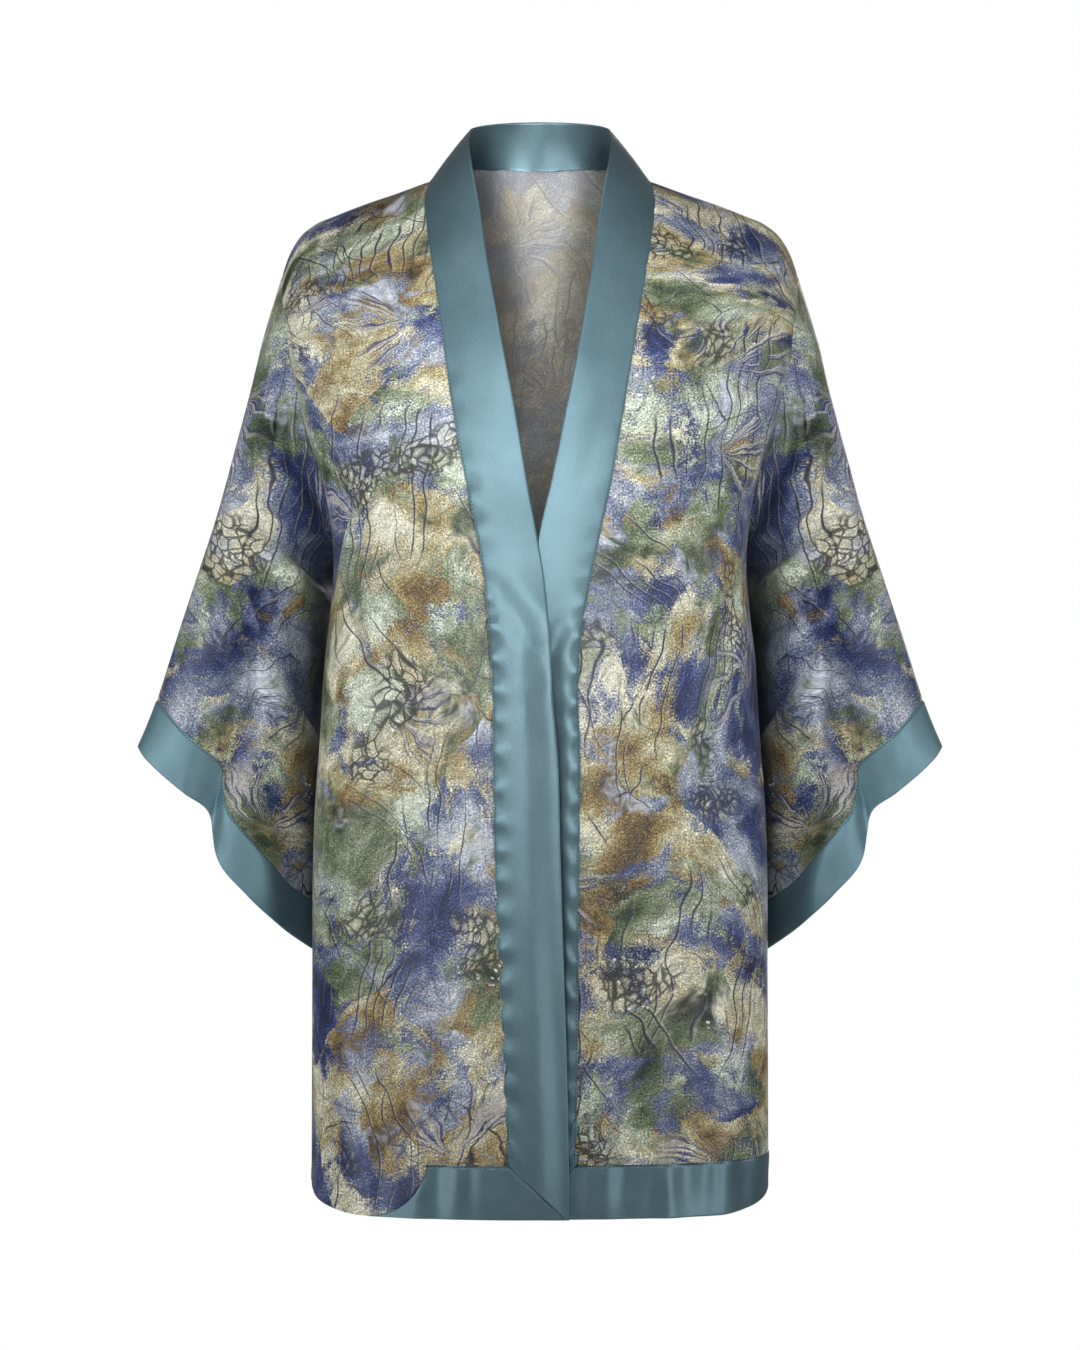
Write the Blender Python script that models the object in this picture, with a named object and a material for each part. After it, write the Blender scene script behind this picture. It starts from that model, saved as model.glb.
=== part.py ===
"""Short kimono robe of printed satin with plain satin bands, in its worn shape with no wearer.

The origin is midway between the two points where the neckband crosses the shoulders. +X is the
wearer's left, -Y the front and +Z up. Every piece of cloth is a wall on a surface that is worked
out from the sizes below. "Drop" is how far a point lies below the shoulder line, and "own" is a
distance from the centre line towards a front's own side.
"""

import math

import bmesh
import bpy
import numpy as np

# Cloth
CLOTH = 0.0020  # wall of a printed panel
BAND = 0.0026  # wall of a doubled satin band
SEAM_GAP = 0.0003  # between two pieces at a seam

PRINT_COLOUR, PRINT_ROUGHNESS = (0.20, 0.22, 0.24), 0.42
BAND_COLOUR, BAND_ROUGHNESS = (0.10, 0.24, 0.29), 0.32

# Body
HALF_DEPTH = 0.120  # of the body below the chest
SHOULDER_ROUND = 0.120  # drop over which the body reaches most of its depth
SECTION_POWER = 2.7  # of the flattened oval that each level section is
SHOULDER_FADE = 0.100  # drop over which the shoulder slope dies away
SHOULDER_LINE = (  # half: distance from the centre, height: of the shoulder line there
    (0.0000, 0.0710),
    (0.0300, 0.0640),
    (0.0566, 0.0450),
    (0.0760, 0.0220),
    (0.0870, 0.0070),
    (0.0932, 0.0010),
    (0.1000, -0.0016),
    (0.1250, -0.0108),
    (0.1498, -0.0192),
    (0.1768, -0.0296),
    (0.1968, -0.0386),
    (0.2099, -0.0506),
    (0.2183, -0.0660),
    (0.2235, -0.0810),
)
NAPE_LINE = (  # half, height: the same line carried over the muscle behind it, without the corner
    (0.0000, 0.0710),
    (0.0300, 0.0640),
    (0.0566, 0.0465),
    (0.0800, 0.0275),
    (0.0932, 0.0175),
    (0.1100, 0.0055),
    (0.1300, -0.0055),
    (0.1500, -0.0155),
    (0.1768, -0.0285),
    (0.1968, -0.0386),
    (0.2099, -0.0506),
    (0.2183, -0.0660),
    (0.2235, -0.0810),
)
NAPE_FROM = 0.008  # drop over which the back leaves the shoulder line for it
BODY_WIDTH = (  # drop, half: half width at the armhole's edge, and at the side seam below it
    (0.0000, 0.2235),
    (0.0500, 0.2220),
    (0.1000, 0.2195),
    (0.1600, 0.2162),
    (0.1900, 0.2122),
    (0.2200, 0.2050),
    (0.2500, 0.1957),
    (0.2800, 0.1862),
    (0.2990, 0.1815),
    (0.3300, 0.1790),
    (0.3700, 0.1815),
    (0.4100, 0.1862),
    (0.4900, 0.1914),
    (0.5360, 0.1950),
    (0.6000, 0.1973),
    (0.6800, 0.1977),
    (0.8880, 0.1986),
)
ARMPIT = 0.299  # drop of the armhole's lowest point
ARMHOLE_TOP = -0.081  # its height
ARMHOLE_HALF_DEPTH = 0.047

# Hem
BAND_TOP = 0.842  # drop of the seam between a panel and its hem band
HEM = 0.888  # drop of the lower edge
SIDE_RISE = 0.018  # how much higher the hem is at a side seam
SIDE_RISE_FROM = math.radians(50)  # section angle at which the hem begins to rise
SIDE_RISE_POWER = 1.5
LOBE_INNER, LOBE_OUTER = 0.0963, 0.1480  # own: where the right front runs down over the hem
LOBE_POWER = 1.8
GATHER_FROM = 0.550  # drop from which the right front's columns lean towards its lobe

# Folds of the body, alike on both sides but deeper on the wearer's left
BODY_FOLDS = (  # face, own and drop where it starts and ends, depth, width
    ("front", 0.207, 0.125, 0.187, 0.290, 0.006, 0.012),
    ("front", 0.082, 0.600, 0.086, 0.950, 0.003, 0.016),
    ("front", 0.132, 0.540, 0.140, 0.950, 0.004, 0.019),
    ("front", 0.172, 0.380, 0.176, 0.950, 0.004, 0.013),
    ("back", 0.000, 0.300, 0.000, 0.950, 0.004, 0.022),
    ("back", 0.060, 0.340, 0.068, 0.950, 0.006, 0.018),
    ("back", 0.122, 0.240, 0.138, 0.950, 0.007, 0.019),
    ("back", 0.205, 0.125, 0.187, 0.290, 0.005, 0.012),
)
FOLD_FADE = 0.25  # share of a fold's length over which each end dies away
FOLD_UNLIKE = 0.2  # how much deeper, and on the right shallower

# Neckband
NECK_HALF = 0.0932  # of the neck seam, at the shoulder line
NECK_DROP = 0.0432  # of the neck seam at the centre back
NECKBAND_BACK = (  # seam angle from the centre back, then the folded edge's x, y, z
    (0.0, 0.0000, 0.0400, 0.0560),
    (22.5, 0.0240, 0.0385, 0.0552),
    (45.0, 0.0430, 0.0315, 0.0530),
    (67.5, 0.0560, 0.0175, 0.0492),
    (90.0, 0.0600, 0.0020, 0.0446),
)
NECKBAND_NECK = (  # drop, the seam's own, then the folded edge's own, y, z
    (0.0050, 0.0958, 0.0612, -0.0340, 0.0318),
    (0.0197, 0.0982, 0.0580, -0.0640, 0.0085),
    (0.0493, 0.0951, 0.0505, -0.0850, -0.0330),
)
NECKBAND_FRONT = (  # drop, right seam's and edge's own, left seam's and edge's own
    (0.1023, 0.0877, 0.0432, 0.0870, 0.0436),
    (0.1600, 0.0797, 0.0298, 0.0773, 0.0312),
    (0.2145, 0.0712, 0.0189, 0.0682, 0.0193),
    (0.2640, 0.0618, 0.0107, 0.0594, 0.0090),
    (0.3050, 0.0533, 0.0031, 0.0507, -0.0008),
    (0.3440, 0.0469, -0.0034, 0.0426, -0.0080),
    (0.3930, 0.0423, -0.0081, 0.0345, -0.0155),
    (0.4470, 0.0394, -0.0108, 0.0318, -0.0182),
    (0.4980, 0.0390, -0.0152, 0.0334, -0.0166),
    (0.5760, 0.0378, -0.0172, 0.0327, -0.0173),
    (0.6790, 0.0338, -0.0203, 0.0318, -0.0182),
    (0.7565, 0.0300, -0.0227, 0.0313, -0.0187),
    (0.8420, 0.0270, -0.0243, 0.0300, -0.0200),
    (0.8880, 0.0270, -0.0243, 0.0300, -0.0200),
)
EDGE_LIFT = 0.006  # how far the folded edge stands off the chest at the top of the opening
LIFT_FULL, LIFT_GONE = 0.100, 0.300  # drops
LAID_FROM, LAID_FULL = 0.250, 0.350  # drops over which the band comes to lie on the body's round
BACK_SPAN = 0.33  # stations of the neckband from the centre back to the shoulder, minus ones
SHEAR_FROM = 0.706  # drop from which the neckband's rows lean towards its mitred end
LAP = 0.0022  # how far each front moves out of the way where they cross
LAP_FROM, LAP_FULL = 0.250, 0.330  # drops
LAP_HALF, LAP_FADE = 0.050, 0.080  # the crossing's half width, and the stretch where it dies away

# Sleeves
SLEEVE_OUTER = (  # way: share of the sleeve's length, then the outer fold's x, y, z
    (0.000, 0.2235, 0.0, -0.0810),
    (0.048, 0.2299, 0.0, -0.1010),
    (0.129, 0.2399, 0.0, -0.1344),
    (0.240, 0.2514, 0.0, -0.1812),
    (0.350, 0.2638, 0.0, -0.2277),
    (0.501, 0.2812, 0.0, -0.2909),
    (0.631, 0.2988, 0.0, -0.3444),
    (0.770, 0.3174, 0.0, -0.4010),
    (0.890, 0.3332, 0.0, -0.4503),
    (1.000, 0.3501, 0.0, -0.4947),
)
SLEEVE_UNDER = (  # way, then the under seam's x, y, z
    (0.000, 0.1815, 0.0000, -0.2990),
    (0.050, 0.1832, 0.0240, -0.3120),
    (0.100, 0.1838, 0.0420, -0.3330),
    (0.170, 0.1832, 0.0570, -0.3640),
    (0.330, 0.1825, 0.0710, -0.4250),
    (0.580, 0.1810, 0.0870, -0.5230),
    (0.850, 0.1790, 0.1010, -0.6330),
    (1.000, 0.1775, 0.1080, -0.6900),
)
SLEEVE_BULGE = (  # way, front and back: how far the cloth stands off the line between the folds
    (0.00, 0.047, 0.047),
    (0.20, 0.060, 0.056),
    (0.50, 0.072, 0.056),
    (0.80, 0.082, 0.052),
    (1.00, 0.085, 0.050),
)
BULGE_POWER = 0.7
MOUTH_SAG = (  # round, front and back: how far the mouth hangs below the line between its ends
    (0.00, 0.0000, 0.0000),
    (0.10, -0.0035, -0.0050),
    (0.21, -0.0080, -0.0105),
    (0.31, -0.0115, -0.0145),
    (0.37, -0.0030, -0.0120),
    (0.43, 0.0065, -0.0040),
    (0.60, 0.0105, 0.0040),
    (0.84, 0.0065, 0.0040),
    (1.00, 0.0000, 0.0000),
)
CUFF_FROM = 0.890  # way at which the cuff is sewn on
SETTLE = 0.45  # way over which the sleeve's section leaves the armhole's shape
SLEEVE_FOLDS = (  # face, way and round where it starts and ends, depth, width; round is 0 to 1
    ("front", 1.00, 0.34, 0.52, 0.36, 0.028, 0.032),
    ("front", 0.43, 0.12, 0.20, 0.90, 0.009, 0.014),
    ("front", 0.52, 0.15, 0.42, 0.55, 0.007, 0.014),
    ("front", 0.33, 0.26, 0.10, 0.30, 0.005, 0.012),
    ("back", 1.00, 0.42, 0.60, 0.45, 0.016, 0.034),
    ("back", 0.40, 0.20, 0.18, 0.80, 0.008, 0.016),
)
SLEEVE_GIRTH, SLEEVE_LENGTH = 0.30, 0.43  # metres that one unit of round and of way stand for

# How finely the surfaces are divided
ARMHOLE_STEPS = 16
BODY_STEPS = 14
SHOULDER_STEPS = 11
NECK_STEPS = 6
BAND_STEPS = 4
SLEEVE_STEPS = 14
CUFF_STEPS = 3
SIDE_STEPS = 4
COLUMNS_EVEN = 0.300  # drop at which the back's columns have spread out evenly
RIM_ANGLE = math.radians(50)  # a wall's faces meet sharply at its rim

RIGHT, LEFT = -1, 1  # the wearer's
TILT = np.array([0.31, 0.17, 1.0])  # tells the two ends of any rim's step apart


def through(at, places, values):
    """A smooth curve through the rows of a table, read at any place along it."""
    places = np.asarray(places, float)
    values = np.asarray(values, float)
    slopes = np.gradient(values, places, axis=0)
    at = np.clip(at, places[0], places[-1])
    i = np.clip(np.searchsorted(places, at, side="right") - 1, 0, len(places) - 2)
    span = places[i + 1] - places[i]
    u = (at - places[i]) / span
    if values.ndim > 1:
        span = span[..., None]
        u = u[..., None]
    rise = values[i + 1] - values[i]
    ease = u * u * (3 - 2 * u)
    start = span * slopes[i] * u * (1 - u) ** 2
    end = span * slopes[i + 1] * u * u * (u - 1)
    return values[i] + rise * ease + start + end


def column(table, number):
    return [row[number] for row in table]


def step_up(at, low, high):
    """0 below low, 1 above high, smooth between."""
    u = np.clip((at - low) / (high - low), 0, 1)
    return u * u * (3 - 2 * u)


def unit(vectors):
    return vectors / np.linalg.norm(vectors, axis=-1, keepdims=True)


def shoulder_height(x):
    return through(np.abs(x), column(SHOULDER_LINE, 0), column(SHOULDER_LINE, 1))


def shoulder_share(drop):
    return np.exp(-((drop / SHOULDER_FADE) ** 2))


def edge_half_width(drop):
    return through(drop, column(BODY_WIDTH, 0), column(BODY_WIDTH, 1))


def depth_at(way):
    """Half depth of the body at a way down it, where way squared is the drop. Minus is behind."""
    return np.sign(way) * HALF_DEPTH * np.sqrt(1 - np.exp(-way * way / SHOULDER_ROUND))


def armhole_angle(way):
    """The section angle of the armhole's edge, or of the side seam below it."""
    drop = np.maximum(way * way, 1e-6)
    height = -drop + shoulder_height(edge_half_width(drop)) * shoulder_share(drop)
    middle, half_height = (ARMHOLE_TOP - ARMPIT) / 2, (ARMHOLE_TOP + ARMPIT) / 2
    round_off = np.clip(1 - ((height - middle) / half_height) ** 2, 0, 1)
    share = ARMHOLE_HALF_DEPTH * np.sqrt(round_off) / np.abs(depth_at(np.sqrt(drop)))
    share = np.where(drop < ARMPIT - 1e-6, share, 0)
    return np.arcsin((1 - share**SECTION_POWER) ** (1 / SECTION_POWER))


def half_width(way):
    """Half width of the whole section, which passes through the armhole's edge."""
    return edge_half_width(way * way) / np.sin(armhole_angle(way))


def fold_depth(along, aside, length, start, end):
    """A soft trough at a distance along its line and to one side of it, fading at its ends."""
    share = along / length
    ends = 1.0
    if start:
        ends = step_up(share, 0, FOLD_FADE)
    if end:
        ends = ends * step_up(1 - share, 0, FOLD_FADE)
    return ends * np.exp(-(aside**2))


def body_folds(face, x, drop):
    """How deep the body's folds are at a place on its front or back."""
    total = np.zeros_like(x)
    for side, own_0, drop_0, own_1, drop_1, depth, width in BODY_FOLDS:
        if side != face:
            continue
        run = np.array([own_1 - own_0, drop_1 - drop_0])
        length = math.hypot(*run)
        run /= length
        off_own, off_drop = np.abs(x) - own_0, drop - drop_0
        along = off_own * run[0] + off_drop * run[1]
        aside = (off_own * run[1] - off_drop * run[0]) / width
        total = total + depth * fold_depth(along, aside, length, True, drop_1 < HEM)
    return total * (1 + FOLD_UNLIKE * np.tanh(x / NECK_HALF))


def body(angle, way):
    """A point of the body. Angle is 0 at the centre and a right angle at the side seam, and way is
    the root of the drop, minus behind, so that the front and the back are one smooth surface."""
    angle, way = np.broadcast_arrays(angle, way)
    drop = way * way
    across = np.sin(angle)
    along = (1 - np.abs(across) ** SECTION_POWER).clip(0) ** (1 / SECTION_POWER)
    x = half_width(way) * across
    folds = np.where(way > 0, body_folds("front", x, drop), body_folds("back", x, drop))
    y = -(depth_at(way) - folds * np.sign(way)) * along * np.sign(np.cos(angle))
    nape = through(np.abs(x), column(NAPE_LINE, 0), column(NAPE_LINE, 1))
    behind = np.where(way < 0, 1 - np.exp(-drop / NAPE_FROM), 0)
    height = shoulder_height(x) + (nape - shoulder_height(x)) * behind
    z = -drop + height * shoulder_share(drop)
    return np.stack([x, y, z], axis=-1)


def angle_of(x, way):
    return np.arcsin(np.clip(x / half_width(way), -1, 1))


def lap(side, points, way):
    """Moves a front's points out of the other front's way where they cross."""
    near = 1 - step_up(np.abs(points[..., 0]), LAP_HALF, LAP_HALF + LAP_FADE)
    low = step_up(way * np.abs(way), LAP_FROM, LAP_FULL)
    moved = points.copy()
    moved[..., 1] += side * LAP * near * low
    return moved


def front(side, angle, way):
    return lap(side, body(angle, way), way)


def normals_of(surface, angle, way):
    """Outward unit normals of a body surface."""
    nudge = 1e-4
    across = surface(angle + nudge, way) - surface(angle - nudge, way)
    down = surface(angle, way + nudge) - surface(angle, way - nudge)
    return unit(np.cross(down, across))


def hem_drop(angle):
    """Drop of the lower edge, which rises in a round into each side seam."""
    turn = (np.abs(angle) - SIDE_RISE_FROM) / (math.pi / 2 - SIDE_RISE_FROM)
    return HEM - SIDE_RISE * np.clip(turn, 0, 1) ** SIDE_RISE_POWER


def lobe():
    """(own, drop) along the edge between the right front and its hem band's curved end."""
    turn = np.linspace(0, math.pi / 2, BAND_STEPS + 1)
    own = LOBE_OUTER - (LOBE_OUTER - LOBE_INNER) * np.cos(turn) ** (2 / LOBE_POWER)
    foot = hem_drop(angle_of(np.array(LOBE_OUTER), math.sqrt(HEM)))
    drop = BAND_TOP + (foot - BAND_TOP) * np.sin(turn) ** (2 / LOBE_POWER)
    return own, drop


def neck_turn(station):
    """Angle round the back of the neck seam, 0 at the centre back."""
    return (1 + np.minimum(station, 0) / BACK_SPAN) * math.pi / 2


def station_way(station):
    """A station runs along the neckband: minus round the back of the neck, then down a front."""
    return np.where(station < 0, -math.sqrt(NECK_DROP) * np.cos(neck_turn(station)), station)


def front_table(side):
    """Stations down a front, the seam's own and the folded edge's own."""
    rows = [(0.0, NECK_HALF, NECKBAND_BACK[-1][1])]
    rows += [(math.sqrt(row[0]), row[1], row[2]) for row in NECKBAND_NECK]
    first = 1 if side == RIGHT else 3
    rows += [(math.sqrt(row[0]), row[first], row[first + 1]) for row in NECKBAND_FRONT]
    return rows


def seam_own(side, station):
    down = through(station, column(front_table(side), 0), column(front_table(side), 1))
    return np.where(station < 0, NECK_HALF * np.sin(neck_turn(station)), down)


def edge_own(side, station):
    return through(station, column(front_table(side), 0), column(front_table(side), 2))


def seam_point(side, station):
    way = station_way(station)
    return front(side, angle_of(side * seam_own(side, station), way), way)


def edge_table(side):
    """Stations along the folded edge, and its points."""
    stations = [BACK_SPAN * (row[0] / 90 - 1) for row in NECKBAND_BACK]
    points = [(side * row[1], row[2], row[3]) for row in NECKBAND_BACK]
    for drop, _, own, y, z in NECKBAND_NECK:
        stations.append(math.sqrt(drop))
        points.append((side * own, y, z))
    for row in NECKBAND_FRONT:
        station = np.array(math.sqrt(row[0]))
        own = row[2] if side == RIGHT else row[4]
        x, y, z = front(side, angle_of(side * own, station), station)
        stations.append(float(station))
        points.append((x, y - EDGE_LIFT * (1 - step_up(row[0], LIFT_FULL, LIFT_GONE)), z))
    return stations, points


def edge_point(side, station):
    return through(station, *edge_table(side))


def seam_normal(side, station):
    """The normal shared where the neckband is sewn on: midway between the body's and the band's."""
    nudge = 1e-3
    station = np.asarray(station, float)
    before = np.maximum(station - nudge, -BACK_SPAN)
    along = seam_point(side, station + nudge) - seam_point(side, before)
    across = edge_point(side, station) - seam_point(side, station)
    band = side * unit(np.cross(across, along))
    way = station_way(station)
    angle = angle_of(side * seam_own(side, station), way)
    return unit(band + normals_of(lambda a, w: front(side, a, w), angle, way))


def band_row(side, stations):
    """The neckband's points at the stations of one side, from its seam to its folded edge."""
    share = np.linspace(0, 1, BAND_STEPS + 1)
    seam = seam_point(side, stations)[:, None]
    edge = edge_point(side, stations)[:, None]
    chord = seam + (edge - seam) * share[:, None]
    drop = np.maximum(stations, 0)[:, None] ** 2
    lean = np.clip((drop - SHEAR_FROM) / (BAND_TOP - SHEAR_FROM), 0, 1)
    way = np.sqrt(drop + (HEM - BAND_TOP) * lean * share)
    seam_at = seam_own(side, stations)[:, None]
    edge_at = edge_own(side, way[:, -1:])
    own = seam_at + (edge_at - seam_at) * share
    laid = front(side, angle_of(side * own, way), way)
    flat = step_up(drop, LAID_FROM, LAID_FULL)[..., None]
    return chord + (laid - chord) * flat


def fold_offsets(face, way, round_):
    """How deep the sleeve's folds are at a place on one face."""
    total = 0
    for side, way_0, round_0, way_1, round_1, depth, width in SLEEVE_FOLDS:
        if side != face:
            continue
        run = np.array([(way_1 - way_0) * SLEEVE_LENGTH, (round_1 - round_0) * SLEEVE_GIRTH])
        length = math.hypot(*run)
        run /= length
        off_way = (way - way_0) * SLEEVE_LENGTH
        off_round = (round_ - round_0) * SLEEVE_GIRTH
        along = off_way * run[0] + off_round * run[1]
        aside = (off_way * run[1] - off_round * run[0]) / width
        total = total + depth * fold_depth(along, aside, length, way_0 < 1, True)
    return total


def armhole_round(count=60):
    """Ways down the armhole's edge against the share of its length, 0 at the top."""
    ways = np.linspace(0, math.sqrt(ARMPIT), count)
    points = body(armhole_angle(ways), ways)
    lengths = np.r_[0, np.cumsum(np.linalg.norm(np.diff(points, axis=0), axis=1))]
    return ways, lengths / lengths[-1]


def plain_sleeve(face, way, round_):
    outer = through(way, column(SLEEVE_OUTER, 0), [row[1:] for row in SLEEVE_OUTER])
    under = through(way, column(SLEEVE_UNDER, 0), [row[1:] for row in SLEEVE_UNDER])
    chord = outer + (under - outer) * round_[..., None]
    number = 1 if face == "front" else 2
    bulge = through(way, column(SLEEVE_BULGE, 0), column(SLEEVE_BULGE, number))
    depth = bulge * np.sin(math.pi * round_).clip(0) ** BULGE_POWER
    depth = depth - fold_offsets(face, way, round_)
    level = unit((under - outer) * (1, 0, 1))
    down = np.stack([-level[..., 2], 0 * way, level[..., 0]], axis=-1)
    sag = way**2 * through(round_, column(MOUTH_SAG, 0), column(MOUTH_SAG, number))
    points = chord + down * sag[..., None]
    points[..., 1] += depth if face == "back" else -depth
    return points


def sleeve(face, way, round_):
    """A point of the wearer's left sleeve. Way runs from the armhole to the mouth, and round from
    the outer fold to the under seam, over the front or the back."""
    ways, rounds = armhole_round()
    down = np.interp(round_, rounds, ways)
    signed = down if face == "front" else -down
    rim = body(armhole_angle(down), signed)
    settle = (1 - np.clip(way / SETTLE, 0, 1))[..., None] ** 2
    return plain_sleeve(face, way, round_) + settle * (rim - plain_sleeve(face, 0 * way, round_))


def square_step(edge, inner):
    """Half a seam gap from each point of an edge towards the cloth, square to the edge."""
    along = unit(np.gradient(edge, axis=0))
    step = inner - edge
    step = step - along * (step * along).sum(axis=-1, keepdims=True)
    return unit(step) * SEAM_GAP / 2


def cut_back(points, *sides):
    """Draws the named edges of a grid back from their seams."""
    cut = points.copy()
    if "top" in sides:
        cut[0] += square_step(points[0], points[1])
    if "bottom" in sides:
        cut[-1] += square_step(points[-1], points[-2])
    if "start" in sides:
        cut[:, 0] += square_step(points[:, 0], points[:, 1])
    if "end" in sides:
        cut[:, -1] += square_step(points[:, -1], points[:, -2])
    return cut


def finish(name, colour, roughness):
    material = bpy.data.materials.new(name)
    material.use_nodes = True
    shader = material.node_tree.nodes["Principled BSDF"]
    shader.inputs["Base Color"].default_value = (*colour, 1)
    shader.inputs["Roughness"].default_value = roughness
    shader.inputs["Metallic"].default_value = 0.0
    return material


def wall(name, points, normals, thickness, material, ring=False):
    """A closed wall on a grid of points, half its thickness to each side. A rim's faces are parted
    from the higher outer corner to the lower inner one, so that neighbours' rims are alike."""
    rows, columns = points.shape[:2]
    mesh = bmesh.new()
    outer, inner = [
        [[mesh.verts.new(place) for place in row] for row in points + normals * lift]
        for lift in (thickness / 2, -thickness / 2)
    ]
    height = points @ TILT

    def rim(here, there):
        (i, j), (m, n) = here, there
        corners = (outer[i][j], outer[m][n], inner[m][n], inner[i][j])
        if height[here] < height[there]:
            corners = corners[1:] + corners[:1]
        mesh.faces.new(corners[:3])
        mesh.faces.new((corners[0], corners[2], corners[3]))

    last = columns if ring else columns - 1
    for i in range(rows - 1):
        for j in range(last):
            k = (j + 1) % columns
            mesh.faces.new((outer[i][j], outer[i][k], outer[i + 1][k], outer[i + 1][j]))
            mesh.faces.new((inner[i][j], inner[i + 1][j], inner[i + 1][k], inner[i][k]))
    for j in range(last):
        k = (j + 1) % columns
        rim((0, k), (0, j))
        rim((rows - 1, j), (rows - 1, k))
    for i in range(0 if ring else rows - 1):
        rim((i, 0), (i + 1, 0))
        rim((i + 1, columns - 1), (i, columns - 1))
    facing = np.cross(points[:-1, 1:] - points[:-1, :-1], points[1:, :-1] - points[:-1, :-1])
    if (facing * normals[:-1, :-1]).sum() < 0:
        bmesh.ops.reverse_faces(mesh, faces=mesh.faces)
    data = bpy.data.meshes.new(name)
    mesh.to_mesh(data)
    mesh.free()
    data.shade_smooth()
    data.set_sharp_from_angle(angle=RIM_ANGLE)
    data.materials.append(material)
    piece = bpy.data.objects.new(name, data)
    bpy.context.scene.collection.objects.link(piece)
    return piece


for old in list(bpy.data.objects):
    bpy.data.objects.remove(old, do_unlink=True)

print_satin = finish("print_satin", PRINT_COLOUR, PRINT_ROUGHNESS)
band_satin = finish("band_satin", BAND_COLOUR, BAND_ROUGHNESS)

edge_ways, edge_shares = armhole_round()
edge_rounds = np.linspace(0, 1, ARMHOLE_STEPS + 1)
armhole_ways = np.interp(edge_rounds, edge_shares, edge_ways)
side_ways = np.sqrt(np.linspace(ARMPIT, BAND_TOP, BODY_STEPS + 1))[1:]
rows = np.concatenate([armhole_ways, side_ways])

# Sleeves and cuffs: one tube from the armhole to the mouth, parted at the cuff seam
sleeve_ways = np.linspace(0, CUFF_FROM, SLEEVE_STEPS + 1)
cuff_ways = np.linspace(CUFF_FROM, 1, CUFF_STEPS + 1)[1:]
way_grid, round_grid = np.meshgrid(np.r_[sleeve_ways, cuff_ways], edge_rounds, indexing="ij")
front_face = sleeve("front", way_grid, round_grid)
back_face = sleeve("back", way_grid, round_grid)
tube = np.concatenate([front_face, back_face[:, -2:0:-1]], axis=1)
along = np.gradient(tube, axis=0)
wrapped = np.concatenate([tube[:, -1:], tube, tube[:, :1]], axis=1)
around = wrapped[:, 2:] - wrapped[:, :-2]
tube_normals = unit(np.cross(around, along))
signed_ways = np.r_[armhole_ways, -armhole_ways[-2:0:-1]]
rim_normals = normals_of(body, armhole_angle(signed_ways), signed_ways)
rim_normals[ARMHOLE_STEPS] = (1, 0, 0)
shared = unit(rim_normals + tube_normals[0])
tube_normals[0] = shared
front_rim = shared[: ARMHOLE_STEPS + 1]
back_rim = np.r_[shared[:1], shared[: ARMHOLE_STEPS - 1 : -1]]

for side, word in ((RIGHT, "right"), (LEFT, "left")):
    mirror = (side, 1, 1)
    cloth = tube[: SLEEVE_STEPS + 1] * mirror
    cuff = tube[SLEEVE_STEPS:] * mirror
    wall(
        f"sleeve_{word}",
        cut_back(cloth, "top", "bottom"),
        tube_normals[: SLEEVE_STEPS + 1] * mirror,
        CLOTH,
        print_satin,
        ring=True,
    )
    wall(
        f"cuff_{word}",
        cut_back(cuff, "top"),
        tube_normals[SLEEVE_STEPS:] * mirror,
        BAND,
        band_satin,
        ring=True,
    )

# Fronts. The right one runs down over the hem at its side, so its last rows are stretched there.
shear_row = int(np.argmin(np.abs(rows**2 - SHEAR_FROM)))
hem_share = np.linspace(0, 1, BAND_STEPS + 1)
seam_rows = {LEFT: rows}
seam_rows[RIGHT] = np.r_[
    rows[:shear_row],
    np.sqrt(np.linspace(rows[shear_row] ** 2, BAND_TOP, len(rows) - shear_row + BAND_STEPS)),
]
lobe_own, lobe_drop = lobe()
hem_angles = {}

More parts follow.
